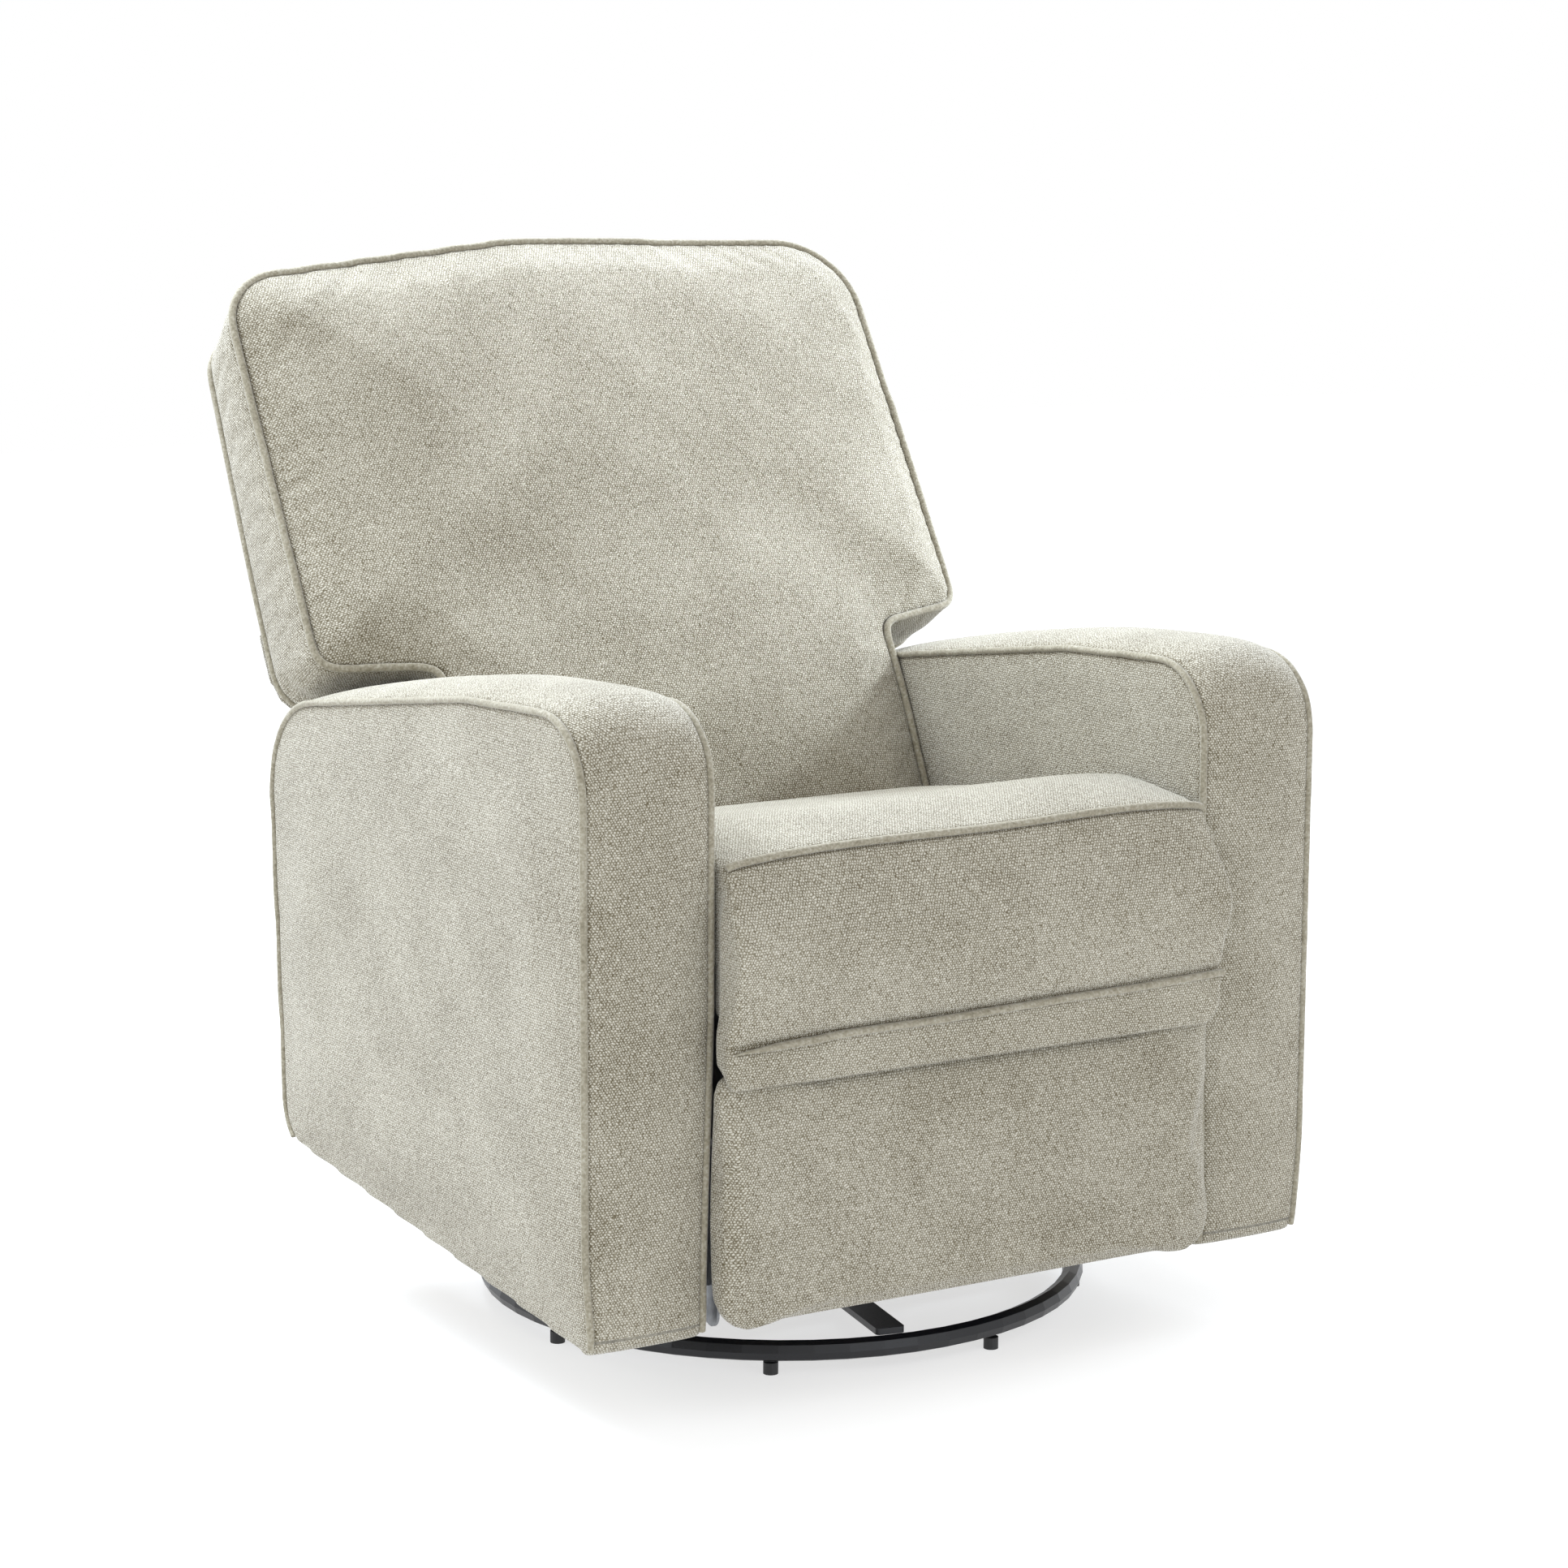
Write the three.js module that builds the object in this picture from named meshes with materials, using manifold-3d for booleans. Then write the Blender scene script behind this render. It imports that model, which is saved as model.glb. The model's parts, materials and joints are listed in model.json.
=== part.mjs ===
// A swivel glider recliner: a ring base with a turntable, four hanging glide links, a chassis with two
// upholstered arms and a seat, a reclining T-shaped back and a folding leg rest.
// Units are millimetres. X is left to right, -Y is the front, +Z is up, and the floor is Z = 0.

import * as THREE from "three";
import { mergeVertices } from "three/addons/utils/BufferGeometryUtils.js";
import Module from "manifold-3d";

const wasm = await Module();
wasm.setup();

// ---- Driving dimensions -----------------------------------------------------------------------

const GAP = 0.3; // clearance between two pieces that touch
const SWIVEL_AXIS_Y = -100; // the swivel axis, measured from the middle of the chair's footprint
const SIDES = { left: -1, right: 1 };

// Ring base
const RING_RADIUS = 285;
const RING_TUBE_RADIUS = 10;
const FOOT_HEIGHT = 11;
const FOOT_RADIUS = 7;
const FOOT_COUNT = 8;
const SPIDER_ANGLE = -11;
const FOOT_ANGLE = SPIDER_ANGLE + 22.5;
const SPIDER_WIDTH = 28;
const SPIDER_THICKNESS = 6;
const HUB_RADIUS = 70;

// Swivel bearing and turntable
const BEARING_RADIUS = 92;
const BEARING_PLATE = 3;
const BEARING_RACE_HEIGHT = 5;
const TURNTABLE_WIDTH = 316;
const TURNTABLE_LENGTH = 150;
const TURNTABLE_CORNER = 12;
const PLATE = 4;

// Glide: brackets on the turntable, links that hang from them, rails on the links' lower ends
const GLIDE_PIVOT_Y = 120;
const GLIDE_UPPER_Z = 225;
const GLIDE_LINK_LENGTH = 130;
const GLIDE_LOWER_Z = GLIDE_UPPER_Z - GLIDE_LINK_LENGTH;
const BRACKET_X = 150;
const GLIDE_LINK_X = 159;
const RAIL_X = 168;
const RAIL_BOTTOM_Z = 82;
const RAIL_TOP_Z = 210;
const RAIL_REACH_Y = 212;
const EYE_RADIUS = 13;
const PIN_RADIUS = 5;
const PIN_CLEARANCE = 0.6;

// Chassis
const CROSS_TUBE_Y = 200;
const CROSS_TUBE_RADIUS = 12;
const CROSS_TUBE_Z = RAIL_TOP_Z + CROSS_TUBE_RADIUS + GAP;
const SIDE_PLATE_X = 240;
const SPACER_RADIUS = 8;
const SPACER_Z = 262;
const SPACER_Y = { front: -200, rear: 180 };
const SPACER_SEGMENTS = 12;

// Arms
const ARM_INNER_X = 262;
const ARM_OUTER_X = 390;
const ARM_EDGE = 11;
const ARM_PANEL_X = 280;
const ARM_PANEL_THICKNESS = 25;
const ARM_PANEL_INSET = 24;
const ARM_OPEN_BELOW_Z = 335;
const ARM_OPENING_Y = [-290, 270];
// Corners of the arm's side outline: y, z and the radius it is rounded with
const ARM_CORNERS = [
  [-314, 68, 14], [297, 131, 34], [322, 560, 95], [-95, 619, 300], [-317, 631, 72],
];
const ARM_POCKET_MOUTH_Z = 40; // below the pad, so the pocket opens downwards
const ARM_POCKET_PLAY = 1; // the pocket in the pad is this much larger than the plywood panel

// Seat
const SEAT_HALF_WIDTH = 261;
const RAIL_WOOD_HALF = SIDE_PLATE_X - GAP;
const SPRING_COUNT = 4;
const SPRING_WIRE_RADIUS = 2;
const SPRING_SPACING = 105;
const SPRING_WAVES = 7;
const SPRING_WAVE_HALF = 24;

// Back, in its own leaning frame: s runs up the back, t runs rearward from the hinge
const BACK_HINGE_Y = 150;
const BACK_HINGE_Z = 330;
const BACK_LEAN = 31;
const BACK_HALF_WIDTH = 373;
const BACK_LOWER_HALF_WIDTH = 258;
const BACK_TOP_S = 745;
const BACK_EAR_OUTER_S = 304;
const BACK_NOTCH_S = 266;
const BACK_BOTTOM_S = 20;
const BACK_FRONT_T = -50;
const BACK_CROWN = 28;
const BACK_FRAME_FRONT_T = -7.5;
const BACK_FRAME_REAR_T = 13.5;
const OUTER_BACK_FRONT_T = 14;
const OUTER_BACK_REAR_T = 31.5;
const OUTER_BACK_STEP_S = 42;
const BACK_BOARD_HALF = 335;
const BACK_BOARD_BOTTOM_S = 560;
const BACK_BOARD_TOP_S = 640;
const BACK_BOARD_CORNER = 30;
const POST_INNER_X = 203;
const POST_OUTER_X = 233;
const POST_BOTTOM_S = -55;
const BACK_RAIL_HEIGHT = 60;
const BACK_BRACKET_X = 234;
const BACK_BRACKET_PLATE = 3;

// Leg rest: drive link, tong link, control link and panel bracket, each in its own layer along X
const DRIVE_PIVOT = [-268, 272];
const DRIVE_LENGTH = 165;
const DRIVE_ANGLE = -97;
const TONG_LENGTH = 130;
const TONG_ANGLE = 85;
const TONG_TAIL = 40;
const CONTROL_PIVOT = [-235.4, 233.2];
const LINK_PLATE = 3;
const LINK_RADIUS = 11;
const CONTROL_X = 234;
const DRIVE_X = 228;
const TONG_X = 222;
const PANEL_BRACKET_X = 216;
const DRIVE_TUBE_RADIUS = 8;
const PANEL_HALF_WIDTH = 260;
const PANEL_BOTTOM_Z = 78;
const PANEL_TOP_Z = 286;
const PANEL_FRONT_Y = -336;
const PANEL_BOARD_Y = -316;
const PANEL_BACK_Y = -300;
const PANEL_CORNER = 28;
const BOARD_HALF_WIDTH = 238;

// ---- Materials ----------------------------------------------------------------------------------

const FINISHES = {
  fabric: { color: 0xb5b0a3, roughness: 0.95, metalness: 0 },
  blackSteel: { color: 0x1b1d22, roughness: 0.5, metalness: 0.6 },
  mechanismSteel: { color: 0x6f7276, roughness: 0.4, metalness: 0.9 },
  springSteel: { color: 0x8c8f92, roughness: 0.35, metalness: 1 },
  wood: { color: 0xb08a5a, roughness: 0.8, metalness: 0 },
  glide: { color: 0x141416, roughness: 0.7, metalness: 0 },
};

// ---- Helpers ------------------------------------------------------------------------------------

const chair = new THREE.Group();
chair.position.y = SWIVEL_AXIS_Y;

function addPart(parent, name, geometry, finish) {
  const mesh = new THREE.Mesh(geometry, new THREE.MeshStandardMaterial(FINISHES[finish]));
  mesh.name = name;
  parent.add(mesh);
  return mesh;
}

function radians(degrees) {
  return THREE.MathUtils.degToRad(degrees);
}

// A step from a pivot, at an angle above straight forward, as [y, z]
function reach([y, z], length, angle) {
  return [y - length * Math.cos(radians(angle)), z + length * Math.sin(radians(angle))];
}

// The two X limits of a layer on the left (-1) or right (1) side
function layer(side, inner, outer) {
  return side > 0 ? [inner, outer] : [-outer, -inner];
}

function toSolid(geometry) {
  const bare = geometry.clone();
  bare.deleteAttribute("normal");
  bare.deleteAttribute("uv");
  const merged = mergeVertices(bare, 1e-4);
  return new wasm.Manifold(new wasm.Mesh({
    numProp: 3,
    vertProperties: new Float32Array(merged.attributes.position.array),
    triVerts: new Uint32Array(merged.index.array),
  }));
}

function toGeometry(solid) {
  const mesh = solid.getMesh();
  const geometry = new THREE.BufferGeometry();
  geometry.setAttribute("position", new THREE.BufferAttribute(mesh.vertProperties, 3));
  geometry.setIndex(new THREE.BufferAttribute(mesh.triVerts, 1));
  return geometry;
}

function join(...geometries) {
  return toGeometry(geometries.map(toSolid).reduce((whole, next) => whole.add(next)));
}

function cut(geometry, ...tools) {
  return toGeometry(tools.map(toSolid).reduce((whole, next) => whole.subtract(next), toSolid(geometry)));
}

// A closed outline through corner points [a, b, radius], each corner rounded by its radius
function roundedShape(corners) {
  const shape = new THREE.Shape();
  const first = corners[0];
  const last = corners.at(-1);
  shape.moveTo((first[0] + last[0]) / 2, (first[1] + last[1]) / 2);
  corners.forEach(([a, b, radius], i) => {
    const corner = new THREE.Vector2(a, b);
    const before = new THREE.Vector2(...corners.at(i - 1)).sub(corner).normalize();
    const after = new THREE.Vector2(...corners[(i + 1) % corners.length]).sub(corner).normalize();
    if (radius === 0) {
      shape.lineTo(a, b);
      return;
    }
    const half = Math.acos(before.dot(after)) / 2;
    const setback = radius / Math.tan(half);
    const start = corner.clone().addScaledVector(before, setback);
    const end = corner.clone().addScaledVector(after, setback);
    const inward = before.clone().add(after).normalize();
    const centre = corner.clone().addScaledVector(inward, radius / Math.sin(half));
    const clockwise = before.cross(after) > 0;
    shape.lineTo(start.x, start.y);
    const startAngle = start.clone().sub(centre).angle();
    const endAngle = end.clone().sub(centre).angle();
    shape.absarc(centre.x, centre.y, radius, startAngle, endAngle, clockwise);
  });
  shape.closePath();
  return shape;
}

function rectangle(aMin, bMin, aMax, bMax, radius = 0) {
  const corners = [[aMin, bMin], [aMax, bMin], [aMax, bMax], [aMin, bMax]];
  return roundedShape(corners.map(([a, b]) => [a, b, radius]));
}

function mirrored(rightHalf) {
  const leftHalf = rightHalf.map(([a, b, radius]) => [-a, b, radius]).reverse();
  return roundedShape([...rightHalf, ...leftHalf]);
}

function extrude(shape, depth, edge, segments) {
  return new THREE.ExtrudeGeometry(shape, {
    depth: depth - 2 * edge,
    curveSegments: segments,
    bevelEnabled: edge > 0,
    bevelThickness: edge,
    bevelSize: edge,
    bevelOffset: -edge,
    bevelSegments: 2,
  }).translate(0, 0, edge);
}

// A (y, z) outline given thickness along X
function slabX(shape, [xMin, xMax], edge = 0, segments = 3) {
  const toYZX = new THREE.Matrix4().makeBasis(
    new THREE.Vector3(0, 1, 0), new THREE.Vector3(0, 0, 1), new THREE.Vector3(1, 0, 0));
  return extrude(shape, xMax - xMin, edge, segments).applyMatrix4(toYZX).translate(xMin, 0, 0);
}

// An (x, z) outline given thickness along Y
function slabY(shape, [yMin, yMax], edge = 0, segments = 3) {
  const toXZY = new THREE.Matrix4().makeBasis(
    new THREE.Vector3(1, 0, 0), new THREE.Vector3(0, 0, 1), new THREE.Vector3(0, -1, 0));
  return extrude(shape, yMax - yMin, edge, segments).applyMatrix4(toXZY).translate(0, yMax, 0);
}

function slabZ(shape, [zMin, zMax], segments = 3) {
  return extrude(shape, zMax - zMin, 0, segments).translate(0, 0, zMin);
}

function box([xMin, xMax], [yMin, yMax], [zMin, zMax]) {
  return new THREE.BoxGeometry(xMax - xMin, yMax - yMin, zMax - zMin)
    .translate((xMin + xMax) / 2, (yMin + yMax) / 2, (zMin + zMax) / 2);
}

// A round bar along X through the point [y, z]
function barX([y, z], radius, [xMin, xMax], sides = 12) {
  return new THREE.CylinderGeometry(radius, radius, xMax - xMin, sides)
    .rotateZ(Math.PI / 2)
    .translate((xMin + xMax) / 2, y, z);
}

function circle(a, b, radius) {
  return new THREE.Path().absarc(a, b, radius, 0, 2 * Math.PI, true);
}

// A flat bar from one [y, z] point to another, with round ends and a pin hole at each listed point
function barShape(from, to, halfWidth, holes) {
  const angle = Math.atan2(to[1] - from[1], to[0] - from[0]);
  const shape = new THREE.Shape();
  shape.absarc(to[0], to[1], halfWidth, angle - Math.PI / 2, angle + Math.PI / 2, false);
  shape.absarc(from[0], from[1], halfWidth, angle + Math.PI / 2, angle + Math.PI * 1.5, false);
  shape.closePath();
  holes.forEach(([y, z]) => shape.holes.push(circle(y, z, PIN_RADIUS + PIN_CLEARANCE)));
  return shape;
}

// ---- Ring base ----------------------------------------------------------------------------------

const RING_Z = FOOT_HEIGHT + GAP + RING_TUBE_RADIUS;
const SPIDER_Z = RING_Z + RING_TUBE_RADIUS + GAP;
const LOWER_PLATE_Z = SPIDER_Z + SPIDER_THICKNESS + GAP;
const UPPER_PLATE_Z = LOWER_PLATE_Z + BEARING_PLATE + BEARING_RACE_HEIGHT + 2 * GAP;
const TURNTABLE_Z = UPPER_PLATE_Z + BEARING_PLATE + GAP;
const BRACKET_BOTTOM_Z = TURNTABLE_Z + PLATE + GAP;

function onCircle(radius, degrees) {
  return [radius * Math.sin(radians(degrees)), -radius * Math.cos(radians(degrees))];
}

function spiderShape() {
  const corners = [];
  const half = SPIDER_WIDTH / 2;
  for (let arm = 0; arm < 4; arm += 1) {
    const along = new THREE.Vector2(...onCircle(1, SPIDER_ANGLE + 90 * arm));
    const across = new THREE.Vector2(-along.y, along.x);
    const inner = along.clone().multiplyScalar(HUB_RADIUS);
    const outer = along.clone().multiplyScalar(RING_RADIUS);
    [[inner, -half], [outer, -half], [outer, half], [inner, half]].forEach(([base, offset]) => {
      const point = base.clone().addScaledVector(across, offset);
      corners.push([point.x, point.y, 4]);
    });
  }
  return roundedShape(corners);
}

function addBase() {
  const ring = new THREE.TorusGeometry(RING_RADIUS, RING_TUBE_RADIUS, 8, 56).translate(0, 0, RING_Z);
  addPart(chair, "base_ring", ring, "blackSteel");
  const spider = slabZ(spiderShape(), [SPIDER_Z, SPIDER_Z + SPIDER_THICKNESS], 3);
  addPart(chair, "base_spider", spider, "blackSteel");
  for (let i = 0; i < FOOT_COUNT; i += 1) {
    const [x, y] = onCircle(RING_RADIUS, FOOT_ANGLE + (360 / FOOT_COUNT) * i);
    const foot = new THREE.CylinderGeometry(FOOT_RADIUS, FOOT_RADIUS, FOOT_HEIGHT, 16)
      .rotateX(Math.PI / 2)
      .translate(x, y, FOOT_HEIGHT / 2);
    addPart(chair, `base_foot_${i + 1}`, foot, "glide");
  }
}

// A bearing plate: a flat disc with a raised race that faces the other plate
function bearingProfile(plateZ, raceZ, raceEdgeZ) {
  const outline = [
    [0, plateZ], [BEARING_RADIUS, plateZ], [BEARING_RADIUS, raceZ],
    [BEARING_RADIUS - 12, raceZ], [BEARING_RADIUS - 12, raceEdgeZ],
    [BEARING_RADIUS - 34, raceEdgeZ], [BEARING_RADIUS - 34, raceZ], [0, raceZ], [0, plateZ],
  ];
  return outline.map(([r, z]) => new THREE.Vector2(r, z));
}

function addBearing() {
  const raceTop = LOWER_PLATE_Z + BEARING_PLATE + BEARING_RACE_HEIGHT;
  const lower = new THREE.LatheGeometry(
    bearingProfile(LOWER_PLATE_Z, LOWER_PLATE_Z + BEARING_PLATE, raceTop), 32).rotateX(Math.PI / 2);
  addPart(chair, "swivel_lower_plate", lower, "mechanismSteel");
  const disc = new THREE.CylinderGeometry(BEARING_RADIUS, BEARING_RADIUS, BEARING_PLATE, 32)
    .rotateX(Math.PI / 2)
    .translate(0, 0, UPPER_PLATE_Z + BEARING_PLATE / 2);
  addPart(chair, "swivel_upper_plate", disc, "mechanismSteel");
}

// ---- Turntable and glide ------------------------------------------------------------------------

const FRONT_UPPER = [-GLIDE_PIVOT_Y, GLIDE_UPPER_Z];
const REAR_UPPER = [GLIDE_PIVOT_Y, GLIDE_UPPER_Z];
const FRONT_LOWER = [-GLIDE_PIVOT_Y, GLIDE_LOWER_Z];
const REAR_LOWER = [GLIDE_PIVOT_Y, GLIDE_LOWER_Z];

function addTurntable() {
  const halfWidth = TURNTABLE_WIDTH / 2;
  const halfLength = TURNTABLE_LENGTH / 2;
  const plateOutline = rectangle(-halfWidth, -halfLength, halfWidth, halfLength, TURNTABLE_CORNER);
  const plate = slabZ(plateOutline, [TURNTABLE_Z, TURNTABLE_Z + PLATE]);
  addPart(chair, "turntable_plate", plate, "blackSteel");
  const top = GLIDE_UPPER_Z + EYE_RADIUS;
  const reachY = GLIDE_PIVOT_Y + EYE_RADIUS;
  const outline = roundedShape([
    [-halfLength, BRACKET_BOTTOM_Z, 4], [halfLength, BRACKET_BOTTOM_Z, 4], [halfLength + 10, 150, 20],
    [reachY, 190, 20], [reachY, top, 12], [-reachY, top, 12], [-reachY, 190, 20],
    [-halfLength - 10, 150, 20],
  ]);
  for (const [name, side] of Object.entries(SIDES)) {
    const pins = layer(side, BRACKET_X + PLATE - 1, GLIDE_LINK_X + PLATE + 2);
    const bracket = join(
      slabX(outline, layer(side, BRACKET_X, BRACKET_X + PLATE)),
      barX(FRONT_UPPER, PIN_RADIUS, pins), barX(REAR_UPPER, PIN_RADIUS, pins));
    addPart(chair, `glide_bracket_${name}`, bracket, "blackSteel");
  }
}

function addGlideLinks() {
  for (const [name, side] of Object.entries(SIDES)) {
    const span = layer(side, GLIDE_LINK_X, GLIDE_LINK_X + PLATE);
    const front = barShape(FRONT_UPPER, FRONT_LOWER, EYE_RADIUS, [FRONT_UPPER, FRONT_LOWER]);
    const rear = barShape(REAR_UPPER, REAR_LOWER, EYE_RADIUS, [REAR_UPPER, REAR_LOWER]);
    addPart(chair, `glide_link_front_${name}`, slabX(front, span, 0, 7), "mechanismSteel");
    addPart(chair, `glide_link_rear_${name}`, slabX(rear, span, 0, 7), "mechanismSteel");
  }
}

// ---- Chassis ------------------------------------------------------------------------------------

function addGlideRails() {
  const bottomReachY = GLIDE_PIVOT_Y + 30;
  const outline = roundedShape([
    [-RAIL_REACH_Y, 150, 10], [-bottomReachY, RAIL_BOTTOM_Z, 20], [bottomReachY, RAIL_BOTTOM_Z, 20],
    [RAIL_REACH_Y, 150, 10], [RAIL_REACH_Y, RAIL_TOP_Z, 4], [-RAIL_REACH_Y, RAIL_TOP_Z, 4],
  ]);
  for (const [name, side] of Object.entries(SIDES)) {
    const pins = layer(side, GLIDE_LINK_X - 2, RAIL_X + 1);
    const rail = join(
      slabX(outline, layer(side, RAIL_X, RAIL_X + PLATE)),
      barX(FRONT_LOWER, PIN_RADIUS, pins), barX(REAR_LOWER, PIN_RADIUS, pins));
    addPart(chair, `glide_rail_${name}`, rail, "blackSteel");
  }
}

function addCrossTubes() {
  const span = [-SIDE_PLATE_X + GAP, SIDE_PLATE_X - GAP];
  for (const [name, y] of [["front", -CROSS_TUBE_Y], ["rear", CROSS_TUBE_Y]]) {
    addPart(chair, `cross_tube_${name}`, barX([y, CROSS_TUBE_Z], CROSS_TUBE_RADIUS, span), "blackSteel");
  }
}

// The recliner side plates carry the leg-rest pivots and the back hinge
function addSidePlates() {
  const outline = roundedShape([
    [-246, 205, 14], [215, 205, 14], [215, 250, 20], [172, 318, 16], [160, 350, 16], [120, 352, 20],
    [60, 374, 10], [-250, 399, 10], [-298, 399, 6], [-298, 262, 14],
  ]);
  for (const [name, side] of Object.entries(SIDES)) {
    const plate = slabX(outline, layer(side, SIDE_PLATE_X, SIDE_PLATE_X + PLATE));
    const drivePin = barX(DRIVE_PIVOT, PIN_RADIUS, layer(side, DRIVE_X - 1, SIDE_PLATE_X + 1));
    const controlPin = barX(CONTROL_PIVOT, PIN_RADIUS, layer(side, CONTROL_X - 2, SIDE_PLATE_X + 1));
    const backPinSpan = layer(side, BACK_BRACKET_X - 0.5, SIDE_PLATE_X + 1);
    const backPin = barX([BACK_HINGE_Y, BACK_HINGE_Z], PIN_RADIUS, backPinSpan);
    const sidePlate = join(plate, drivePin, controlPin, backPin);
    addPart(chair, `recliner_side_plate_${name}`, sidePlate, "mechanismSteel");
  }
}

function addArmSpacers() {
  for (const [name, side] of Object.entries(SIDES)) {
    const span = layer(side, SIDE_PLATE_X + PLATE + GAP, ARM_PANEL_X - GAP);
    for (const [end, y] of Object.entries(SPACER_Y)) {
      const bolt = barX([y, SPACER_Z], SPACER_RADIUS, span, SPACER_SEGMENTS);
      addPart(chair, `arm_bolt_${end}_${name}`, bolt, "mechanismSteel");
    }
  }
}

// ---- Arms ---------------------------------------------------------------------------------------

// The arm's side outline, moved inwards by an inset
function armCorners(inset) {
  const middleY = (ARM_CORNERS[0][0] + ARM_CORNERS[1][0]) / 2;
  const middleZ = (ARM_CORNERS[0][1] + ARM_CORNERS[2][1]) / 2;
  return ARM_CORNERS.map(([y, z, radius]) => [
    Math.abs(y - middleY) < 100 ? y : y - Math.sign(y - middleY) * inset,
    z - Math.sign(z - middleZ) * inset,
    Math.max(radius - inset / 2, 0),
  ]);
}

function addArms() {
  const outline = roundedShape(armCorners(0));
  const panelOutline = roundedShape(armCorners(ARM_PANEL_INSET));
  const pocketCorners = armCorners(ARM_PANEL_INSET - ARM_POCKET_PLAY);
  const pocketOutline = roundedShape(
    pocketCorners.map(([y, z, radius], i) => (i < 2 ? [y, ARM_POCKET_MOUTH_Z, 0] : [y, z, radius - 2])));
  for (const [name, side] of Object.entries(SIDES)) {
    const panelSpan = layer(side, ARM_PANEL_X, ARM_PANEL_X + ARM_PANEL_THICKNESS);
    const pocketSpan = layer(side, ARM_PANEL_X - GAP, ARM_PANEL_X + ARM_PANEL_THICKNESS + GAP);
    const pocket = slabX(pocketOutline, pocketSpan);
    const openSpan = layer(side, ARM_INNER_X - 5, ARM_PANEL_X);
    const opening = box(openSpan, ARM_OPENING_Y, [40, ARM_OPEN_BELOW_Z]);
    const pad = cut(slabX(outline, layer(side, ARM_INNER_X, ARM_OUTER_X), ARM_EDGE), pocket, opening);
    addPart(chair, `arm_panel_${name}`, slabX(panelOutline, panelSpan), "wood");
    addPart(chair, `arm_pad_${name}`, pad, "fabric");
  }
}

// ---- Seat ---------------------------------------------------------------------------------------

const FRONT_RAIL = { y: [-298, -274], z: [352, 400] };
const REAR_RAIL = { y: [52, 78], z: [334, 372] };

function addSeatFrame() {
  const span = [-RAIL_WOOD_HALF, RAIL_WOOD_HALF];
  const front = rectangle(FRONT_RAIL.y[0], FRONT_RAIL.z[0], FRONT_RAIL.y[1], FRONT_RAIL.z[1], 3);
  const rear = rectangle(REAR_RAIL.y[0], REAR_RAIL.z[0], REAR_RAIL.y[1], REAR_RAIL.z[1], 3);
  addPart(chair, "seat_front_rail", slabX(front, span, 0, 2), "wood");
  addPart(chair, "seat_rear_rail", slabX(rear, span, 0, 2), "wood");
}

// A sinuous spring weaves from side to side as it runs from the front rail's top to the rear rail's top
class SinuousCurve extends THREE.Curve {
  constructor(x) {
    super();
    this.x = x;
  }

  getPoint(along, target = new THREE.Vector3()) {
    const lift = SPRING_WIRE_RADIUS + GAP;
    const weave = SPRING_WAVE_HALF * Math.sin(along * SPRING_WAVES * 2 * Math.PI);
    const y = THREE.MathUtils.lerp(FRONT_RAIL.y[0] + 4, REAR_RAIL.y[1] - 2, along);
    const z = THREE.MathUtils.lerp(FRONT_RAIL.z[1] + 2, REAR_RAIL.z[1], along) + lift;
    return target.set(this.x + weave, y, z);
  }
}

function addSprings() {
  for (let i = 0; i < SPRING_COUNT; i += 1) {
    const x = (i - (SPRING_COUNT - 1) / 2) * SPRING_SPACING;
    const section = new THREE.Shape().absarc(0, 0, SPRING_WIRE_RADIUS, 0, 2 * Math.PI, false);
    const wire = new THREE.ExtrudeGeometry(section, {
      extrudePath: new SinuousCurve(x), steps: SPRING_WAVES * 7, curveSegments: 3, bevelEnabled: false,
    });
    addPart(chair, `seat_spring_${i + 1}`, wire, "springSteel");
  }
}

function addSeatCushion() {
  const outline = roundedShape([
    [-339, 304, 5], [-336, 350, 4], [-303, 352, 4], [-303, 412, 12], [92, 388, 8], [124, 450, 18],
    [-200, 516, 90], [-326, 508, 26], [-357, 414, 60], [-352, 344, 20], [-352, 304, 5],
  ]);
  const cushion = slabX(outline, [-SEAT_HALF_WIDTH, SEAT_HALF_WIDTH], 0, 4);
  addPart(chair, "seat_cushion", cushion, "fabric");
}

// ---- Back ---------------------------------------------------------------------------------------

function backOutline(inset, bottom) {
  return mirrored([
    [BACK_LOWER_HALF_WIDTH - inset, bottom + inset, Math.max(26 - inset / 2, 4)],
    [BACK_LOWER_HALF_WIDTH - inset, BACK_NOTCH_S + inset, 12 + inset],
    [BACK_HALF_WIDTH - inset, BACK_EAR_OUTER_S + inset, Math.max(24 - inset / 2, 4)],
    [BACK_HALF_WIDTH - inset, BACK_TOP_S - inset, 85 - inset],
  ]);
}

// The rear panel follows the cushion's outline, and is narrower between the recliner side plates
function outerBackOutline() {
  const inset = 3;
  const lowerHalf = BACK_LOWER_HALF_WIDTH - inset;
  return mirrored([
    [SIDE_PLATE_X - 5, POST_BOTTOM_S + 10, 12], [SIDE_PLATE_X - 5, OUTER_BACK_STEP_S, 8],
    [lowerHalf, OUTER_BACK_STEP_S, 8], [lowerHalf, BACK_NOTCH_S + inset, 12],
    [BACK_HALF_WIDTH - inset, BACK_EAR_OUTER_S + inset, 24],
    [BACK_HALF_WIDTH - inset, BACK_TOP_S - inset, 82],
  ]);
}

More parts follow.
